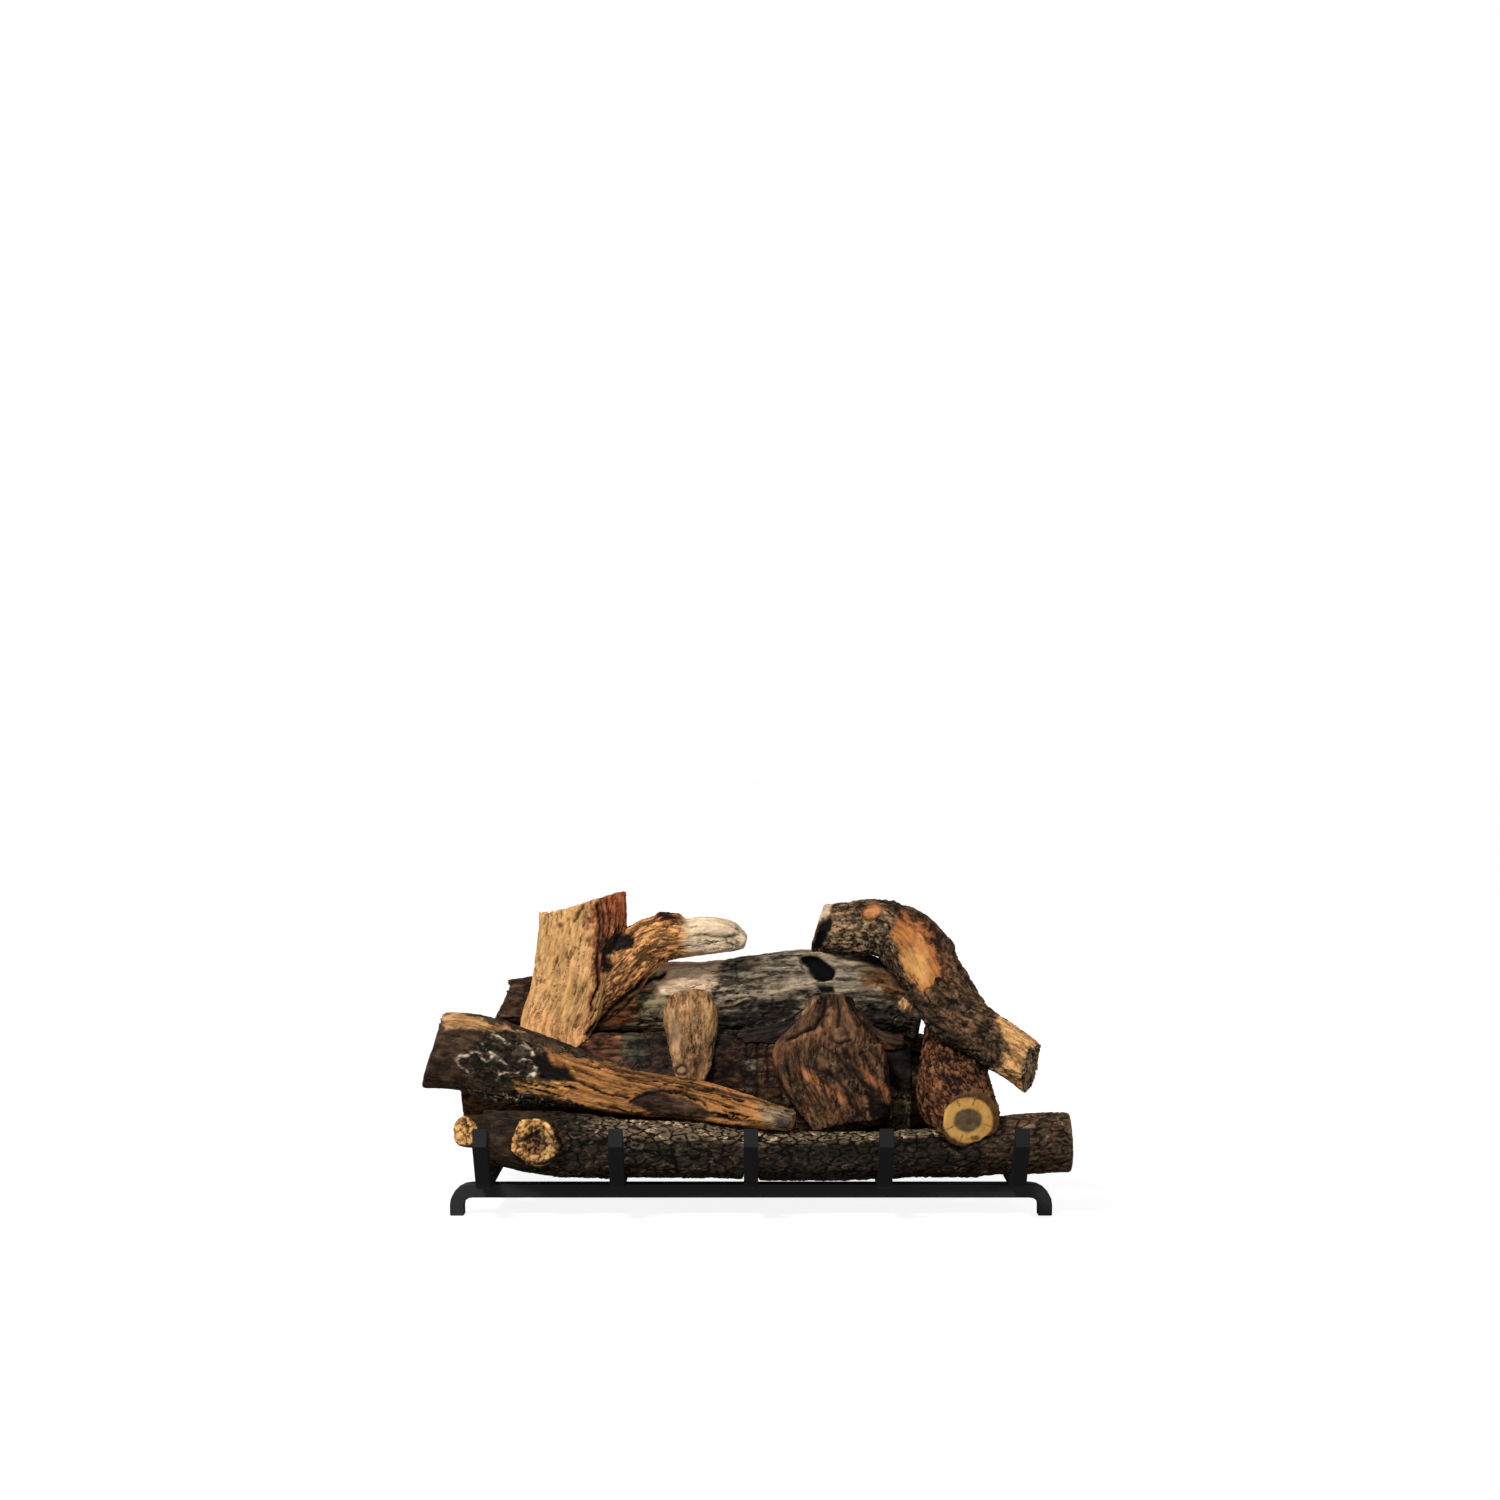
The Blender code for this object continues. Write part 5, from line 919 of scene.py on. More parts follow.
class LOGSET_OT_split_log(bpy.types.Operator):
    """Carve the split log at the left"""

    bl_idname = "log_set.split_log"
    bl_label = "Split Log"

    def execute(self, context):
        colours = settings("colours")
        paths = [Path([
            (-0.312, -0.068, 0.159, 0.031, 0.037), (-0.276, -0.068, 0.157, 0.034, 0.039),
            (-0.237, -0.068, 0.144, 0.034, 0.040), (-0.198, -0.070, 0.1375, 0.034, 0.036),
            (-0.140, -0.076, 0.123, 0.032, 0.029), (-0.101, -0.080, 0.116, 0.031, 0.026),
            (-0.050, -0.086, 0.111, 0.029, 0.023), (0.004, -0.098, 0.102, 0.020, 0.018),
            (0.047, -0.107, 0.095, 0.014, 0.012),
        ])]
        base = Region("base", None, colours.split_bark, 0.7, plates=0.15, lumps=0.6, brush=0.3,
                      accent=plain(52, 40, 30))
        strip = [
            (442, 1016), (453, 1010), (494, 1024), (524, 1032), (508, 1038), (488, 1032), (462, 1027),
            (446, 1026),
        ]
        plates = [
            (457, 1058), (464, 1049), (484, 1040), (486, 1032), (506, 1030), (531, 1038), (537, 1052),
            (540, 1070), (530, 1080), (505, 1084), (492, 1090), (480, 1081), (461, 1070),
        ]
        upper_bark = [(505, 1030), (560, 1046), (600, 1060), (575, 1062), (545, 1052), (520, 1046)]
        wood = [
            (545, 1050), (575, 1058), (600, 1062), (640, 1072), (700, 1084), (749, 1094), (800, 1108),
            (800, 1140), (760, 1136), (700, 1130), (660, 1126), (617, 1120), (585, 1108), (556, 1098),
            (513, 1092), (515, 1080), (540, 1082), (565, 1080), (548, 1066),
        ]
        pale_end = [(756, 1104), (800, 1112), (803, 1140), (772, 1136), (764, 1120)]
        eye = [
            (629, 1102), (640, 1094), (660, 1090), (690, 1098), (716, 1114), (702, 1122), (670, 1120),
            (642, 1112),
        ]
        dark_side = [
            (460, 1092), (500, 1092), (545, 1100), (590, 1112), (640, 1122), (600, 1124), (553, 1118),
            (500, 1112),
        ]
        slot = [(536, 1055), (546, 1053), (566, 1066), (574, 1078), (558, 1082), (543, 1078), (537, 1070)]
        raised, flat = {"lumps": 1.4, "sink": -0.0006}, {"lumps": 1.2, "sink": 0.0}
        cream_scale, grey_scale = plain(206, 186, 156), plain(196, 176, 146)
        scales = [
            (stroke([(483, 1043), (487, 1037), (494, 1034), (499, 1038), (507, 1043), (516, 1044),
                     (524, 1045), (532, 1049), (533, 1055)], 2.3, 1.0, 2.5), cream_scale, raised),
            (stroke([(466, 1074), (461, 1067), (456, 1061), (460, 1056), (471, 1053), (478, 1054),
                     (485, 1062)], 2.4, 1.0, 2.5), cream_scale, raised),
            (stroke([(485, 1050), (494, 1055), (487, 1063), (480, 1057)], 1.9, 0.9, 2), cream_scale, flat),
            (stroke([(497, 1057), (509, 1066)], 2.2, 0.9, 2), cream_scale, flat),
            (stroke([(521, 1060), (532, 1061), (536, 1067), (534, 1075), (527, 1077), (517, 1073),
                     (508, 1072), (500, 1073), (498, 1078)], 2.4, 1.0, 2.5), cream_scale, raised),
            (stroke([(486, 1082), (490, 1088)], 2.6, 0.9, 2), grey_scale, flat),
        ]
        long_groove = [(549, 1067), (562, 1076), (580, 1081), (604, 1092), (628, 1097)]
        low_groove = [(598, 1104), (620, 1110), (640, 1116)]
        high_groove = [(575, 1068), (604, 1080), (630, 1086), (660, 1089)]
        eye_rim = [(630, 1101), (645, 1094), (662, 1089), (684, 1092), (706, 1103)]
        gold = [(512, 1082), (530, 1079), (560, 1082), (566, 1090), (540, 1094), (516, 1091)]
        top_line = [(600, 1066), (660, 1078), (705, 1089), (750, 1097), (790, 1108)]
        core_oval = (786, 1124, 12, 7)
        regions = [
            Region("strip", outline(strip, 2.5, 4), plain(196, 146, 94), 0.75, lumps=0.4, grain=0.6),
            Region("plates", outline(plates, 2, 4), plain(56, 45, 33), 0.85, plates=0.6, lumps=1.1,
                   rims=0.06, brush=0.7),
            *[
                Region(f"scale_{i}", line, tint, 0.95, **form)
                for i, (line, tint, form) in enumerate(scales, 1)
            ],
            Region("upper_bark", outline(upper_bark, 3), plain(56, 41, 30), 0.9, plates=0.6, lumps=0.9,
                   rims=0.25),
            Region("wood", outline(wood, 2.5, 5), colours.split_wood, 1.0, lumps=0.3, grain=1.4,
                   accent=plain(104, 64, 36), amount=0.55),
            Region("right_wrap", stretch_of(TRUNK, 0.62, BEYOND, 0.05), colours.split_wood, 1.0, lumps=0.3,
                   grain=1.2),
            # The underside painted dark with pale crack rims: painted shade, with painted glints
            Region("dark_side", outline(dark_side, 4), plain(44, 34, 27), 0.9, plates=0.7, lumps=1.2,
                   rims=0.7),
            Region("eye", outline(eye, 2, 3), plain(72, 50, 36), 0.75, lumps=0.6, grain=0.6, sink=0.0014),
            Region("eye_rim", stroke(eye_rim, 3.2, 1.2, 2.5), colours.soot_and_shade, 0.5, sink=0.0022),
            Region("long_groove", stroke(long_groove, 3.4, 1.5, 3), colours.soot_and_shade, 0.5, sink=0.0026),
            Region("low_groove", stroke(low_groove, 2.4, 1.5, 3), plain(44, 30, 20), 0.5, sink=0.0016),
            Region("high_groove", stroke(high_groove, 2.0, 1.5, 3), plain(60, 38, 24), 0.5, sink=0.0016),
            Region("gold", outline(gold, 3, 5), plain(206, 150, 80), 0.98, lumps=0.8, grain=0.9),
            Region("slot", outline(slot, 2, 4), plain(20, 14, 10), 0.6, sink=0.0038, lumps=0.2, grain=0.9),
            Region("top_line", stroke(top_line, 3), plain(70, 44, 26), 0.7, lumps=0.3, grain=0.6,
                   sink=0.0012),
            Region("pale_end", outline(pale_end, 4, 5), plain(158, 132, 102), 0.95, lumps=0.6, grain=1.1),
            Region("core", spot(core_oval, 15, 3), plain(70, 60, 50), 0.8, lumps=0.6, grain=0.8),
            Region("left_face", sawn(TRUNK, START), plain(96, 72, 48), 0.7, lumps=0.5),
            Region("right_face", sawn(TRUNK, STOP), plain(170, 124, 78), 0.8, lumps=0.7),
        ]
        relief = Relief(plate=0.014, stretch=1.1, crack=0.05, grain=0.0048, grain_stretch=13)
        carve_log("left_split_log", settings("sizes").fine_grid, paths, relief, base, regions, seed=41)
        return {"FINISHED"}


class LOGSET_OT_forked_log(bpy.types.Operator):
    """Carve the forked log"""

    bl_idname = "log_set.forked_log"
    bl_label = "Forked Log"

    def execute(self, context):
        colours = settings("colours")
        paths = [
            Path([
                (-0.196, -0.009, 0.149, 0.036, 0.021), (-0.194, -0.003, 0.177, 0.036, 0.021),
                (-0.183, 0.004, 0.210, 0.037, 0.021), (-0.174, 0.0115, 0.250, 0.040, 0.021),
                (-0.167, 0.019, 0.2815, 0.045, 0.020), (-0.167, 0.022, 0.299, 0.045, 0.0185),
            ], TOWARD_VIEWER),
            Path([
                (-0.172, 0.016, 0.189, 0.0185, 0.025), (-0.145, 0.018, 0.217, 0.021, 0.034),
                (-0.1155, 0.019, 0.2466, 0.021, 0.028), (-0.090, 0.019, 0.263, 0.021, 0.026),
                (-0.059, 0.0176, 0.265, 0.019, 0.0196), (-0.028, 0.0164, 0.266, 0.017, 0.017),
                (-0.009, 0.0158, 0.263, 0.013, 0.012), (0, 0.0158, 0.261, 0.010, 0.007),
            ]),
        ]
        base = Region("base", None, colours.trunk_tan, 0.6, lumps=0.4, grain=0.8,
                      accent=plain(222, 172, 118))
        rust_side = [
            (588, 905), (600, 895), (626, 888), (634, 901), (632, 922), (616, 936), (610, 950), (606, 970),
            (600, 990), (594, 1010), (590, 1036), (584, 1036), (590, 1000), (594, 960), (590, 930),
        ]
        foot = [(520, 1034), (524, 1018), (545, 1010), (560, 1026), (590, 1020), (592, 1048), (520, 1048)]
        below_branch = [
            (676, 970), (642, 985), (612, 1011), (592, 1036), (620, 1040), (650, 1010), (680, 985),
        ]
        under_line = [(676, 968), (642, 983), (611, 1010), (590, 1034)]
        crotch = [(604, 935), (622, 930), (636, 934), (632, 944), (616, 958), (608, 975), (600, 975)]
        red_top = [(606, 896), (626, 890), (632, 902), (631, 918), (620, 928), (612, 915)]
        knob_oval = (669, 914, 14, 11)
        branch, pit_brown = 1, plain(96, 58, 34)
        tip_top = both(stretch_of(branch, 0.74, 0.96, 0.03), side_of((0, -0.3, 1), 0.3, 0.7))
        groove = [(597, 905), (600, 930), (597, 960), (599, 985), (593, 1005)]
        tip_crack = [(688, 937), (705, 934), (722, 938), (740, 935)]
        pits = [(574, 921), (580, 913), (584, 905)]
        pit_oval = (561, 925, 3, 2)
        regions = [
            Region("rust_side", outline(rust_side, 3), colours.trunk_rust, 0.85, lumps=0.7, grain=1.1),
            Region("red_top", outline(red_top, 3), plain(158, 84, 48), 0.7, lumps=0.5, grain=0.7),
            Region("foot", outline(foot, 5), plain(232, 168, 108), 0.48, lumps=0.6, grain=0.8),
            Region("branch", stretch_of(branch, BEFORE, 0.68, 0.04), plain(240, 168, 104), 0.85, lumps=0.9,
                   grain=0.8),
            Region("tip", stretch_of(branch, 0.70, BEYOND, 0.03), colours.pale_tip, 0.42, lumps=0.4,
                   grain=0.8),
            Region("knob", spot(knob_oval, 20, 4), plain(146, 82, 46), 0.95, lumps=1.3, sink=-0.0055),
            Region("tip_top", tip_top, colours.pale_tip, 0.42, lumps=0.4, grain=0.8, sink=-0.003),
            Region("crotch", outline(crotch, 4), plain(30, 20, 15), 0.7, lumps=0.8, sink=0.002),
            Region("groove", stroke(groove, 3.4), colours.soot_and_shade, 0.5, sink=0.0028),
            Region("tip_crack", stroke(tip_crack, 1.6, 1.2), plain(84, 66, 50), 0.5, sink=0.0012),
            Region("pits", stroke(pits, 3.2), pit_brown, 0.7, sink=0.002),
            Region("pit", spot(pit_oval), pit_brown, 0.7, sink=0.002),
            Region("below_branch", outline(below_branch, 2, 3), plain(120, 80, 50), 0.95, lumps=0.8,
                   grain=0.5),
            # A black stroke on the trunk just under the branch: painted shadow of the branch
            Region("under_line", stroke(under_line, 6, 2, 3), colours.soot_and_shade, 0.5, sink=0.002, lumps=0.2,
                   brush=0),
        ]
        relief = Relief(grain=0.0040, grain_stretch=9, rough=0.009)
        carve_log("forked_log", settings("sizes").fine_grid, paths, relief, base, regions, seed=52)
        return {"FINISHED"}


class LOGSET_OT_root_log(bpy.types.Operator):
    """Carve the fluted root log"""

    bl_idname = "log_set.root_log"
    bl_label = "Root Log"

    def execute(self, context):
        colours = settings("colours")
        paths = [
            Path([
                (0.108, -0.071, 0.084, 0.040, 0.0155), (0.104, -0.062, 0.105, 0.046, 0.024),
                (0.095, -0.053, 0.130, 0.052, 0.028), (0.087, -0.045, 0.152, 0.056, 0.028),
                (0.087, -0.035, 0.173, 0.042, 0.027), (0.087, -0.025, 0.189, 0.0285, 0.0235),
                (0.087, -0.017, 0.207, 0.021, 0.021),
            ], TOWARD_VIEWER),
            Path([(0.071, -0.0143, 0.186, 0.016, 0.017), (0.039, -0.012, 0.169, 0.015, 0.0136),
                  (0.002, -0.010, 0.1626, 0.0136, 0.012), (-0.035, -0.009, 0.1587, 0.009, 0.008)]),
            Path([(0.103, -0.0143, 0.186, 0.016, 0.017), (0.123, -0.012, 0.1657, 0.015, 0.0136),
                  (0.1436, -0.010, 0.160, 0.0136, 0.0112), (0.161, -0.009, 0.1587, 0.0096, 0.0088)]),
        ]
        base = Region("base", None, colours.root_brown, 0.98, lumps=0.9, grain=0.9, rims=0.15, brush=0.4,
                      accent=plain(104, 64, 40))
        left_arm, right_arm, valley_shade = 1, 2, plain(26, 18, 13)
        left_lit = [
            (796, 1066), (806, 1070), (822, 1078), (838, 1092), (850, 1108), (842, 1106), (826, 1092),
            (806, 1080),
        ]
        right_lit = [(856, 1066), (864, 1068), (884, 1086), (900, 1100), (892, 1102), (874, 1086)]
        red_side = [(880, 1048), (905, 1044), (912, 1056), (905, 1064), (888, 1060)]
        right_dark = [(884, 1066), (908, 1056), (912, 1130), (884, 1130), (872, 1098)]
        lower_edge = [
            (770, 1050), (800, 1042), (812, 1030), (816, 1036), (800, 1052), (778, 1066), (768, 1062),
        ]
        boss_oval = (841, 1035, 8.5, 7.5)
        brow = [(775, 1056), (782, 1044), (798, 1038), (812, 1034), (826, 1028), (831, 1018), (830, 1002)]
        ridge = [(843, 1002), (848, 1016), (858, 1028), (872, 1036)]
        left_ridge = [(814, 1000), (806, 1010), (796, 1018)]
        flute_1 = [(825, 998), (823, 1013), (813, 1026), (794, 1036), (786, 1040)]
        flute_2 = [(838, 998), (840, 1014), (838, 1027)]
        flute_3 = [(850, 998), (857, 1012), (868, 1030), (880, 1040)]
        valley_1 = [(824, 1046), (838, 1057), (857, 1077), (874, 1094)]
        valley_2 = [(808, 1067), (830, 1074), (846, 1090), (852, 1106), (866, 1120)]
        valley_3 = [(788, 1052), (800, 1078), (812, 1104), (822, 1124)]
        boss_rim = [(829, 1039), (840, 1044), (851, 1040)]
        burn = [(858, 1098), (868, 1094), (886, 1108), (894, 1122), (884, 1126), (868, 1112)]
        regions = [
            # The right side next to the short log painted near-black: painted shade in the gap
            Region("right_dark", outline(right_dark, 7), plain(36, 25, 19), 0.9, lumps=0.9, grain=0.8),
            Region("arm", stretch_of(left_arm, BEFORE, BEYOND), plain(42, 34, 27), 0.98, lumps=0.6,
                   grain=1.2),
            Region("right_arm", stretch_of(right_arm, BEFORE, BEYOND), plain(58, 41, 30), 0.95, lumps=0.5,
                   grain=1.1),
            Region("fluted_top", stretch_of(TRUNK, 0.66, BEYOND, 0.04), plain(90, 62, 43), 0.95, lumps=0.4,
                   grain=1.3),
            Region("lower_edge", outline(lower_edge, 3), plain(128, 84, 56), 0.8, lumps=0.9, grain=0.3),
            Region("left_lit", outline(left_lit, 4, 2.5), plain(164, 104, 62), 0.9, lumps=0.5, grain=0.9,
                   sink=0.001),
            Region("right_lit", outline(right_lit, 4, 4), plain(156, 94, 54), 0.85, lumps=0.5, grain=0.9,
                   sink=0.001),
            Region("red_side", outline(red_side, 4), plain(120, 70, 42), 0.9, lumps=0.6, grain=0.8),
            Region("boss", spot(boss_oval), plain(100, 68, 46), 0.9, lumps=0.6, sink=-0.003),
            # The brow and ridges raised a little and painted lighter: painted highlight along the ridges
            Region("brow", stroke(brow, 5, 2, 2), plain(132, 90, 60), 0.95, lumps=0.6, grain=0.8,
                   sink=-0.001),
            Region("ridge", stroke(ridge, 5, 2, 2), plain(124, 84, 56), 0.95, lumps=0.5, grain=0.8,
                   sink=-0.001),
            Region("left_ridge", stroke(left_ridge, 3, 1.5, 2), plain(140, 108, 78), 0.9, lumps=0.5,
                   grain=0.8),
            # Flutes, valleys and the boss's lower rim painted near-black and sunk: painted shade between
            # the ridges
            Region("flute_1", stroke(flute_1, 4.5, 2, 2), colours.soot_and_shade, 0.4, sink=0.0030),
            Region("flute_2", stroke(flute_2, 2.4, 1.2, 1), colours.soot_and_shade, 0.4, sink=0.0028),
            Region("flute_3", stroke(flute_3, 2.8, 1.2, 1), colours.soot_and_shade, 0.4, sink=0.0028),
            Region("valley_1", stroke(valley_1, 3.6, 2, 2.5), valley_shade, 0.7, sink=0.0020),
            Region("valley_2", stroke(valley_2, 3.0, 1.5, 2), valley_shade, 0.7, sink=0.0020),
            Region("valley_3", stroke(valley_3, 2.2, 2, 4), plain(28, 20, 14), 0.7, sink=0.0016),
            Region("boss_rim", stroke(boss_rim, 2.0, 1.2, 1), colours.soot_and_shade, 0.4, sink=0.0012),
            Region("burn", outline(burn, 3), plain(26, 19, 14), 0.6, lumps=0.5, sink=0.002),
            Region("top", sawn(TRUNK, STOP), plain(110, 82, 58), 0.7, lumps=0.4),
        ]
        relief = Relief(grain=0.0062, grain_stretch=6.5, rough=0.012)
        carve_log("root_log", settings("sizes").fine_grid, paths, relief, base, regions, seed=61)
        return {"FINISHED"}


class LOGSET_OT_wood_chip(bpy.types.Operator):
    """Carve the wood chip"""

    bl_idname = "log_set.wood_chip"
    bl_label = "Wood Chip"

    def execute(self, context):
        paths = [Path([
            (-0.056, -0.055, 0.124, 0.011, 0.005), (-0.056, -0.0425, 0.146, 0.021, 0.010),
            (-0.056, -0.024, 0.178, 0.028, 0.0105), (-0.056, -0.0155, 0.193, 0.0285, 0.0095),
            (-0.057, -0.003, 0.2125, 0.016, 0.005),
        ], TOWARD_VIEWER)]
        base = Region("base", None, settings("colours").chip_tan, 0.95, lumps=0.7, grain=1.0, brush=0.3,
                      accent=plain(174, 134, 92))
        yellow = [(706, 998), (716, 1003), (722, 1020), (717, 1031), (708, 1042), (706, 1025), (709, 1010)]
        grey_oval = (675, 1033, 6, 11)
        ring_oval = (681, 1070, 7.5, 6.5)
        knot_oval = (681, 1070, 4.2, 3.5)
        low_dark = [(700, 1048), (708, 1042), (700, 1066), (693, 1078), (690, 1066)]
        regions = [
            Region("yellow", outline(yellow, 4), plain(176, 136, 84), 0.85, lumps=0.4, grain=0.7),
            Region("grey", spot(grey_oval, 0, 4, 3), plain(118, 92, 66), 0.9, lumps=0.3, grain=0.7,
                   sink=0.0008),
            Region("ring", spot(ring_oval, 0, 1.2), plain(52, 37, 26), 0.6, lumps=0.2, sink=0.0014),
            Region("knot", spot(knot_oval, 0, 0.8), plain(156, 120, 84), 0.7, lumps=0.3, sink=-0.0004),
            Region("low_dark", outline(low_dark, 3), plain(104, 74, 48), 0.7, lumps=0.5, grain=0.7),
        ]
        relief = Relief(grain=0.0040, grain_stretch=6, rough=0.009, depth=0.85)
        carve_log("wood_chip", settings("sizes").fine_grid, paths, relief, base, regions, seed=71)
        return {"FINISHED"}


class LOGSET_OT_short_log(bpy.types.Operator):
    """Carve the short round log with its sawn face"""

    bl_idname = "log_set.short_log"
    bl_label = "Short Round Log"

    def execute(self, context):
        colours = settings("colours")
        paths = [Path([
            (0.219, -0.137, 0.102, 0.031, 0.031), (0.2146, -0.1185, 0.1077, 0.033, 0.033),
            (0.209, -0.096, 0.1146, 0.036, 0.036), (0.207, -0.065, 0.124, 0.037, 0.037),
            (0.2086, -0.024, 0.1366, 0.034, 0.034), (0.2146, 0.068, 0.165, 0.027, 0.027),
        ])]
        base = Region("base", None, colours.rust_bark, 0.98, plates=0.35, lumps=1.3, brush=0.4,
                      accent=plain(122, 72, 42), amount=0.75)
        face_u, face_v = 968, 1120
        face_oval = (face_u, face_v, 25, 22.5)
        heart_oval = (face_u, 1120.5, 14, 12)
        pith_oval = (969, 1122, 3.5, 3)
        knot_oval = (975, 1137.5, 4.5, 2.5)
        regions = [
            Region("face_rim", sawn(TRUNK, START), plain(112, 80, 46), 0.6, lumps=0.2),
            Region("face", spot(face_oval, 0, 1.2, 0.9), colours.ochre, 0.28, lumps=0.06),
            Region("heart", spot(heart_oval, 0, 1.5, 1.2), plain(120, 98, 68), 0.4, lumps=0.08),
            Region("pith", spot(pith_oval, 0, 1.2), plain(92, 72, 50), 0.4, lumps=0.1),
            Region("knot", spot(knot_oval, 0, 1), plain(128, 90, 48), 0.5, lumps=0.1),
        ]
        check_u, check_v, inner_share = 24, 21.5, 0.72
        angles = np.linspace(0, math.tau, 9)[:-1] + 0.3
        for i in (0, 2, 3, 5, 6):
            du, dv = math.cos(angles[i]) * check_u, math.sin(angles[i]) * check_v
            check = [(face_u + du * share, face_v + dv * share) for share in (1, inner_share)]
            regions.append(
                Region(f"check_{i}", stroke(check, 0.8, 0.8, 0.5), plain(84, 56, 30), 0.4, sink=0.0004)
            )
        relief = Relief(plate=0.008, stretch=1.5, rough=0.0085, rough_stretch=1.9)
        carve_log("short_round_log", settings("sizes").fine_grid, paths, relief, base, regions, seed=83)
        return {"FINISHED"}


class LOGSET_OT_bent_log(bpy.types.Operator):
    """Carve the bent log at the upper right"""

    bl_idname = "log_set.bent_log"
    bl_label = "Upper Right Log"

    def execute(self, context):
        colours = settings("colours")
        paths = [Path([
            (0.074, 0.052, 0.271, 0.025, 0.025), (0.1075, 0.046, 0.272, 0.027, 0.027),
            (0.137, 0.0345, 0.2735, 0.029, 0.029), (0.159, 0.023, 0.2636, 0.029, 0.029),
            (0.1785, 0.0067, 0.245, 0.030, 0.030), (0.196, -0.0195, 0.219, 0.030, 0.030),
            (0.215, -0.0546, 0.1886, 0.029, 0.029), (0.2445, -0.075, 0.170, 0.026, 0.026),
            (0.267, -0.0896, 0.1566, 0.025, 0.025), (0.281, -0.097, 0.147, 0.023, 0.023),
        ])]
        base = Region("base", None, colours.upper_bark, 0.98, plates=0.35, lumps=1.1, rims=0.15, brush=0.3,
                      accent=plain(80, 56, 36), amount=0.7)
        patch = [
            (889, 933), (897, 921), (906, 924), (917, 931), (931, 945), (942, 966), (941, 975), (935, 982),
            (926, 987), (920, 991), (909, 982), (901, 962), (898, 946),
        ]
        lit = [(902, 950), (915, 946), (926, 956), (930, 972), (924, 982), (918, 986), (909, 976)]
        bare_end = [
            (996, 1015), (1045, 1038), (1050, 1062), (1036, 1098), (1012, 1086), (1014, 1062), (1006, 1040),
        ]
        side_patch = [(905, 915), (925, 926), (934, 936), (928, 938), (915, 928), (904, 920)]
        left_part = both(stretch_of(TRUNK, BEFORE, 0.32, 0.04), side_of((-0.2, -0.8, -0.5), 0.1, 0.5))
        elbow = both(stretch_of(TRUNK, 0.16, 0.36), side_of((0, 0, -1), 0.3, 0.7))
        flank = both(stretch_of(TRUNK, 0.56, 0.78), side_of((-1, 0, -0.3), 0.3, 0.7))
        shoulder = both(stretch_of(TRUNK, 0.25, 0.46, 0.03), side_of((0.6, 0, 0.8), 0.3, 0.7))
        bare_wood = plain(232, 174, 112)
        rust_band = [(884, 918), (906, 906), (936, 938), (955, 975), (945, 985), (925, 945), (900, 925)]
        knot_rim_oval = (872, 912, 11.5, 8.5)
        knot_oval = (872, 912, 9, 6)
        stub_oval = (902, 1007, 10, 9)
        cream_end = [(809, 928), (811, 914), (820, 902), (832, 902), (827, 915), (819, 922)]
        black_end = [
            (806, 930), (820, 920), (827, 915), (831, 918), (831, 930), (825, 942), (820, 952), (808, 948),
        ]
        regions = [
            # The lower front of the left part painted lighter with pale flecks: painted light on a side the
            # lamps leave in shade
            Region("left_part", left_part, plain(166, 132, 98), 0.98, plates=0.3, lumps=1.2, rims=0.3,
                   brush=0.8, accent=plain(100, 74, 50)),
            Region("elbow", elbow, plain(84, 66, 50), 0.95, lumps=1.1, sink=-0.009),
            # The flank facing left painted dark and pushed out: painted shade
            Region("flank", flank, plain(60, 45, 33), 0.9, lumps=1.0, sink=-0.009),
            Region("shoulder", shoulder, plain(92, 68, 50), 0.7, lumps=1.0, sink=-0.005),
            # Everything facing down painted darker with pale rims: painted shade, with painted glints
            Region("underside", side_of((-0.6, 0, -0.8), 0.45, 0.8), plain(62, 50, 38), 0.98, plates=0.5,
                   lumps=1.2, rims=0.5),
            Region("rust_band", outline(rust_band, 5), plain(112, 70, 44), 0.85, lumps=1.0),
            Region("patch", outline(patch, 2, 2.5), colours.bare_orange, 0.75, lumps=0.15, grain=0.8,
                   sink=0.0014),
            Region("lit", outline(lit, 6, 4), plain(208, 152, 88), 0.6, lumps=0.12, grain=0.7, sink=0.0014),
            Region("side_patch", outline(side_patch, 2.5), plain(176, 104, 58), 0.6, lumps=0.4, grain=0.4),
            Region("knot_rim", spot(knot_rim_oval, -24, 1.5), plain(120, 72, 42), 0.6, lumps=0.2,
                   sink=-0.0008),
            Region("knot", spot(knot_oval, -24, 1.5), plain(196, 130, 80), 0.5, lumps=0.15, sink=-0.0004),
            Region("stub", spot(stub_oval, 0, 2, 1), plain(222, 170, 118), 0.75, lumps=0.9, sink=-0.0042),
            Region("bare_end", outline(bare_end, 2, 3), bare_wood, 0.6, lumps=0.6, grain=0.4),
            Region("end_wrap", stretch_of(TRUNK, 0.93, BEYOND, 0.02), bare_wood, 0.6, lumps=0.8, grain=0.3),
            Region("broken_end", sawn(TRUNK, STOP), plain(190, 156, 118), 0.9, lumps=1.2, plates=0.6),
            Region("left_face", sawn(TRUNK, START), plain(120, 84, 54), 0.7, lumps=0.5),
            Region("cream_end", outline(cream_end, 2, 3), plain(214, 184, 148), 0.4, lumps=0.2),
            Region("black_end", outline(black_end, 2, 3), colours.soot_and_shade, 0.3, sink=0.004, lumps=0.2),
        ]
        relief = Relief(plate=0.0085, stretch=1.3, rough=0.0085, rough_stretch=1.5)
        carve_log("upper_right_log", settings("sizes").fine_grid, paths, relief, base, regions, seed=94)
        return {"FINISHED"}


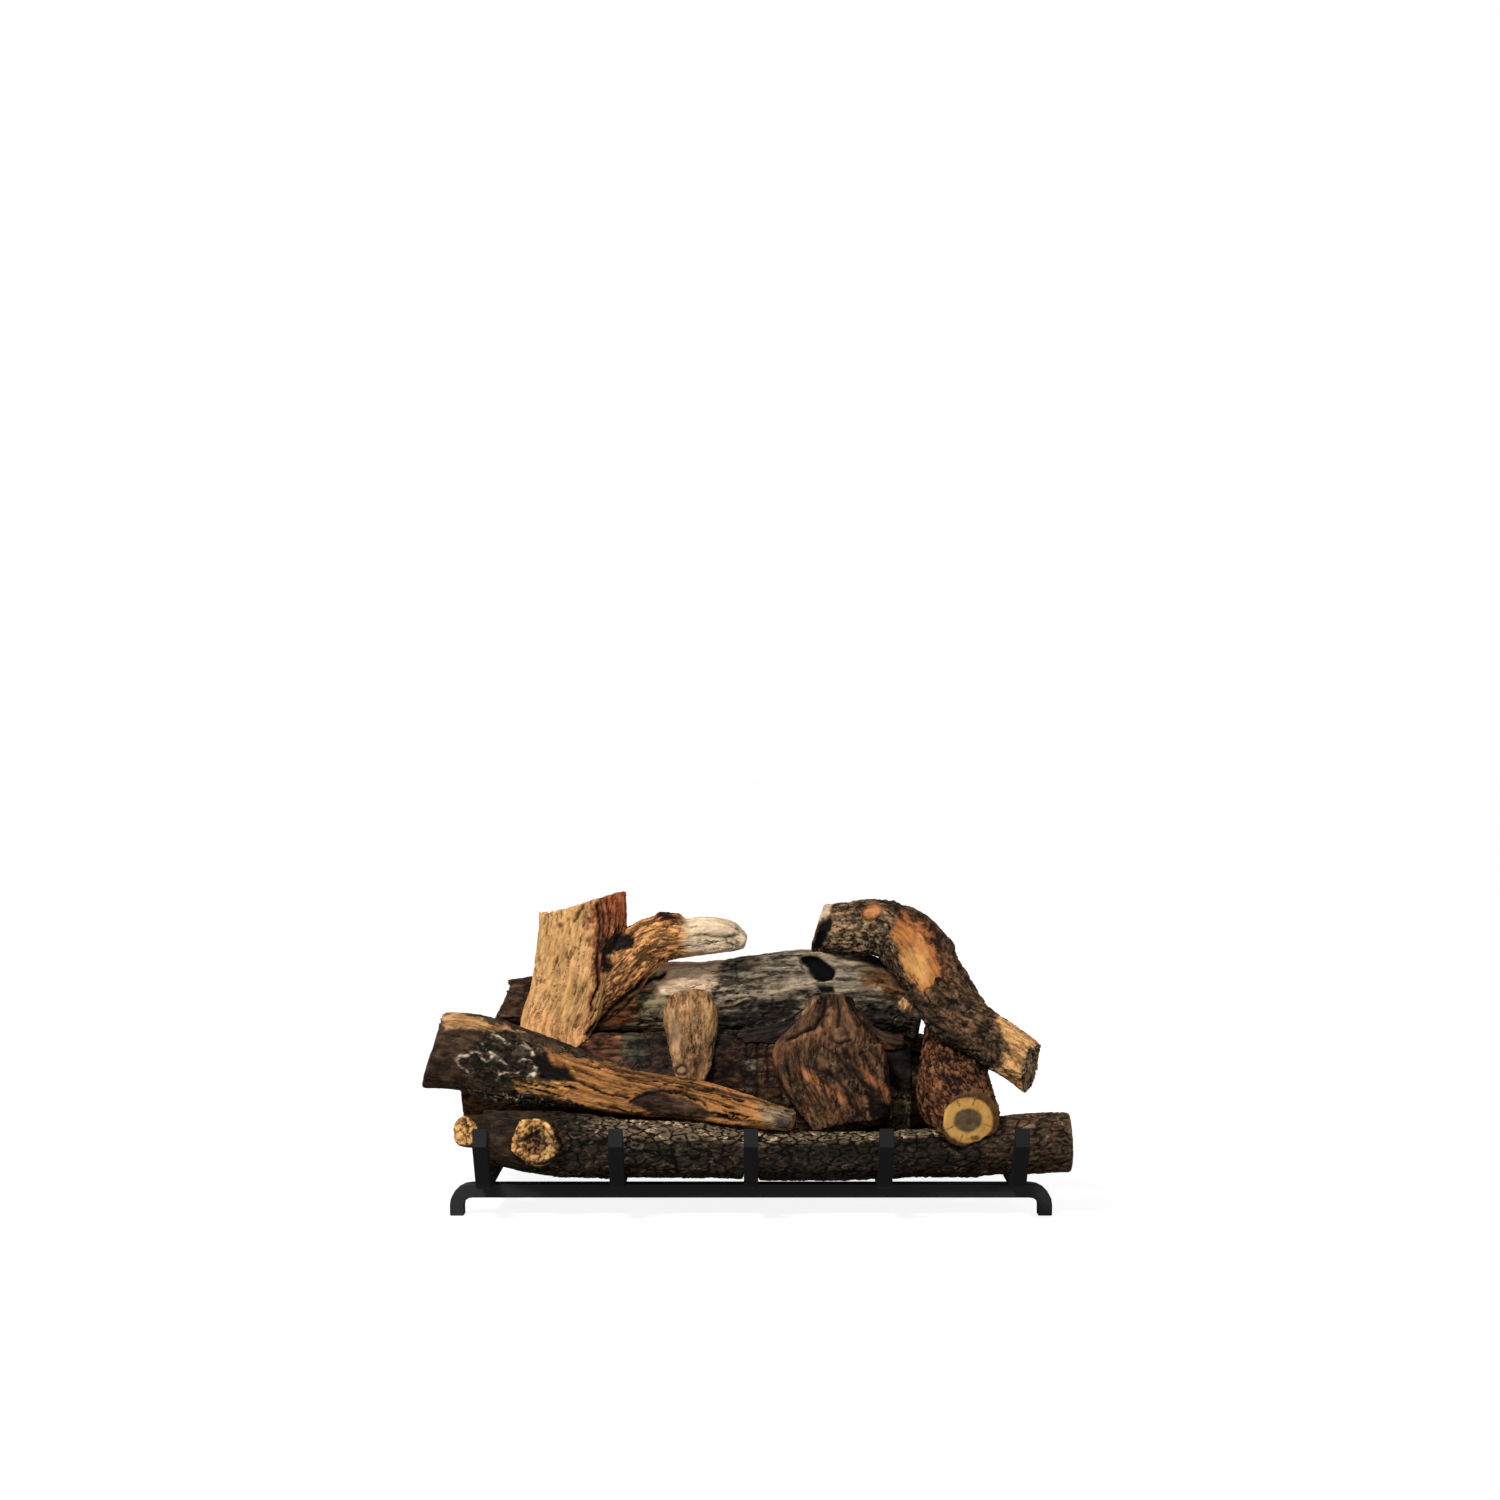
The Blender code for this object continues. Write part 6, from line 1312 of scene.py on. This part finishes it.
def metal(name, colour, roughness, metallic, speckle=0.25, wear=0.0, shine=0.5):
    """A dull metal or paint with uneven tone, fine speckle and an orange-peel surface."""
    material = bpy.data.materials.new(name)
    material.use_nodes = True
    graph = Graph(material.node_tree)
    shader = material.node_tree.nodes["Principled BSDF"]
    place = graph.add("ShaderNodeTexCoord", None, None, 3)
    cloud = graph.noise(graph.scaled(place, CLOUD_RATE), 5, 0.6)
    dust = graph.noise(graph.scaled(place, DUST_RATE), 3, 0.7)
    tone = (cloud - 0.5) * speckle * 1.4 + (dust - 0.5) * speckle + 0.5
    dark = tuple(part * 0.62 for part in colour)
    light = tuple(min(1, part * 1.35 + 0.004) for part in colour)
    shade = graph.ramp(tone, [(0.2, dark), (0.5, tuple(colour)), (0.8, light)])
    if wear:
        scuff = graph.noise(graph.scaled(place, PATCH_RATE), 6, 0.75).spread(0.62, 0.70) * wear
        shade = graph.mix(scuff, shade, (*tuple(part * 2.6 + 0.01 for part in colour), 1))
    material.node_tree.links.new(shade.socket, shader.inputs["Base Color"])
    rough = cloud.spread(0.3, 0.7, roughness - 0.08, roughness + 0.08)
    material.node_tree.links.new(rough.socket, shader.inputs["Roughness"])
    shader.inputs["Metallic"].default_value = metallic
    shader.inputs["Specular IOR Level"].default_value = shine
    inputs = {"Strength": 0.25, "Distance": PAINT_BUMP_HEIGHT, "Height": dust + cloud}
    bump = graph.add("ShaderNodeBump", None, inputs)
    material.node_tree.links.new(bump.socket, shader.inputs["Normal"])
    return material


def coat(material, *nodes):
    """Gives CAD nodes a material."""
    for node in nodes:
        mesh = frame["nodes"][node].data
        mesh.materials.clear()
        mesh.materials.append(material)


class LOGSET_OT_grate(bpy.types.Operator):
    """Paint the grate black"""

    bl_idname = "log_set.grate"
    bl_label = "Grate"

    def execute(self, context):
        metals = settings("metals")
        bars = [node for node in frame["nodes"] if node.startswith("grate_")]
        coat(metal("grate_paint", metals.grate_black, **PAINT), *bars)
        # A lighter copy of the bar paint on the front rail: painted light against the front log's shadow
        coat(metal("rail_paint", metals.rail_black_lit, **PAINT), "grate_front_rail")
        return {"FINISHED"}


class LOGSET_OT_burner(bpy.types.Operator):
    """Finish the burner, valve and pilot"""

    bl_idname = "log_set.burner"
    bl_label = "Burner, Valve and Pilot"

    def execute(self, context):
        metals = settings("metals")
        steel = metal(
            "burner_steel_dull", metals.steel, roughness=0.45, metallic=1.0, speckle=0.5, wear=0.15
        )
        coat(steel, "burner_tube", "burner_end_cap", "air_shutter", "burner_bracket_left",
             "burner_bracket_right", "valve_bracket", "pilot_bracket", "pilot_hood", "valve_spindle")
        brass = metal("plain_brass", metals.brass, roughness=0.36, metallic=1.0, speckle=0.4)
        coat(brass, "orifice_fitting", "supply_tube", "gas_inlet_fitting", "pilot_tube")
        copper = metal("copper_probe", metals.copper, roughness=0.38, metallic=1.0, speckle=0.5)
        coat(copper, "thermocouple", "thermocouple_lead")
        zinc = metal("zinc_screw", metals.zinc, roughness=0.4, metallic=1.0, speckle=0.3)
        coat(zinc, "bracket_screw_1", "bracket_screw_2", "valve_screw_1", "valve_screw_2")
        cast = metal("cast_valve", metals.cast, roughness=0.55, metallic=0.9, speckle=0.35)
        coat(cast, "valve_body")
        black = metal("knob_moulding", metals.knob, roughness=0.42, metallic=0.0, speckle=0.15)
        coat(black, "control_knob")
        return {"FINISHED"}


def lamp(name, power, size, place, target):
    """A soft square lamp turned towards a point."""
    data = bpy.data.lights.new(name, "AREA")
    data.energy = power
    data.size = size
    obj = bpy.data.objects.new(name, data)
    obj.location = place
    obj.rotation_euler = (Vector(target) - Vector(place)).to_track_quat("-Z", "Y").to_euler()
    bpy.context.scene.collection.objects.link(obj)


class LOGSET_OT_stage(bpy.types.Operator):
    """Set the floor, the light and the camera"""

    bl_idname = "log_set.stage"
    bl_label = "Stage"

    def execute(self, context):
        scene, sizes = context.scene, settings("stage")
        bm = bmesh.new()
        bmesh.ops.create_grid(bm, x_segments=1, y_segments=1, size=sizes.floor_side / 2)
        bmesh.ops.translate(bm, verts=bm.verts, vec=(0, 0, -FLOOR_DROP))
        mesh = bpy.data.meshes.new("floor")
        bm.to_mesh(mesh)
        bm.free()
        floor = bpy.data.objects.new("floor", mesh)
        scene.collection.objects.link(floor)
        material = bpy.data.materials.new("floor_white")
        material.use_nodes = True
        graph = Graph(material.node_tree)
        nodes = material.node_tree.nodes
        shader = nodes["Principled BSDF"]
        shader.inputs["Base Color"].default_value = (FLOOR_GREY, FLOOR_GREY, FLOOR_GREY, 1)
        shader.inputs["Roughness"].default_value = FLOOR_ROUGHNESS
        seen = graph.add("ShaderNodeLightPath")
        glow = graph.add("ShaderNodeEmission", None, {"Color": (1, 1, 1, 1), "Strength": seen * FLOOR_GLOW})
        both_lit = graph.add("ShaderNodeAddShader", None, {0: Value(graph, shader.outputs[0]), 1: glow})
        material.node_tree.links.new(both_lit.socket, nodes["Material Output"].inputs["Surface"])
        mesh.materials.append(material)

        world = bpy.data.worlds.new("soft_room")
        scene.world = world
        world.use_nodes = True
        graph = Graph(world.node_tree)
        backing = world.node_tree.nodes["Background"]
        backing.inputs["Color"].default_value = (1, 1, 1, 1)
        seen = graph.add("ShaderNodeLightPath")
        level = seen.spread(0, 1, sizes.world_level, 1.0)
        world.node_tree.links.new(level.socket, backing.inputs["Strength"])

        lamp("key", sizes.key_power, **KEY_LAMP)
        lamp("fill", sizes.fill_power, **FILL_LAMP)
        data = bpy.data.cameras.new("camera")
        data.lens = CAMERA_LENS
        data.sensor_width = CAMERA_SENSOR
        data.shift_y = CAMERA_SHIFT
        camera = bpy.data.objects.new("camera", data)
        back = Vector((0, -math.cos(CAMERA_TILT), math.sin(CAMERA_TILT)))
        camera.location = CAMERA_TARGET + back * CAMERA_REACH
        camera.rotation_euler = (math.pi / 2 - CAMERA_TILT, 0, 0)
        scene.collection.objects.link(camera)
        scene.camera = camera
        scene.view_settings.view_transform = "Standard"
        return {"FINISHED"}


class LOGSET_PT_panel(bpy.types.Panel):
    """The set's settings and the button for each piece"""

    bl_idname = "LOGSET_PT_panel"
    bl_label = "Gas Log Set"
    bl_space_type = "VIEW_3D"
    bl_region_type = "UI"
    bl_category = "Log Set"

    def draw(self, context):
        for group in GROUPS:
            box = self.layout.box()
            for name in GROUPS[group].__annotations__:
                box.prop(getattr(context.scene, "log_set_" + group), name)
        for operator in OPERATORS:
            self.layout.operator(operator.bl_idname)


GROUPS = {"sizes": LogSizes, "colours": LogColours, "metals": MetalColours, "stage": StageSizes}
OPERATORS = (
    LOGSET_OT_front_log, LOGSET_OT_middle_log, LOGSET_OT_rear_logs, LOGSET_OT_split_log,
    LOGSET_OT_forked_log, LOGSET_OT_root_log, LOGSET_OT_wood_chip, LOGSET_OT_short_log,
    LOGSET_OT_bent_log, LOGSET_OT_grate, LOGSET_OT_burner, LOGSET_OT_stage,
)


def register():
    for group in (*GROUPS.values(), *OPERATORS, LOGSET_PT_panel):
        bpy.utils.register_class(group)
    for name, group in GROUPS.items():
        setattr(bpy.types.Scene, "log_set_" + name, PointerProperty(type=group))


def unregister():
    for name in GROUPS:
        delattr(bpy.types.Scene, "log_set_" + name)
    for group in (LOGSET_PT_panel, *reversed(OPERATORS), *reversed(GROUPS.values())):
        bpy.utils.unregister_class(group)


def main():
    """Builds everything."""
    register()
    for operator in OPERATORS:
        group, name = operator.bl_idname.split(".")
        getattr(getattr(bpy.ops, group), name)()


if __name__ == "__main__":
    main()
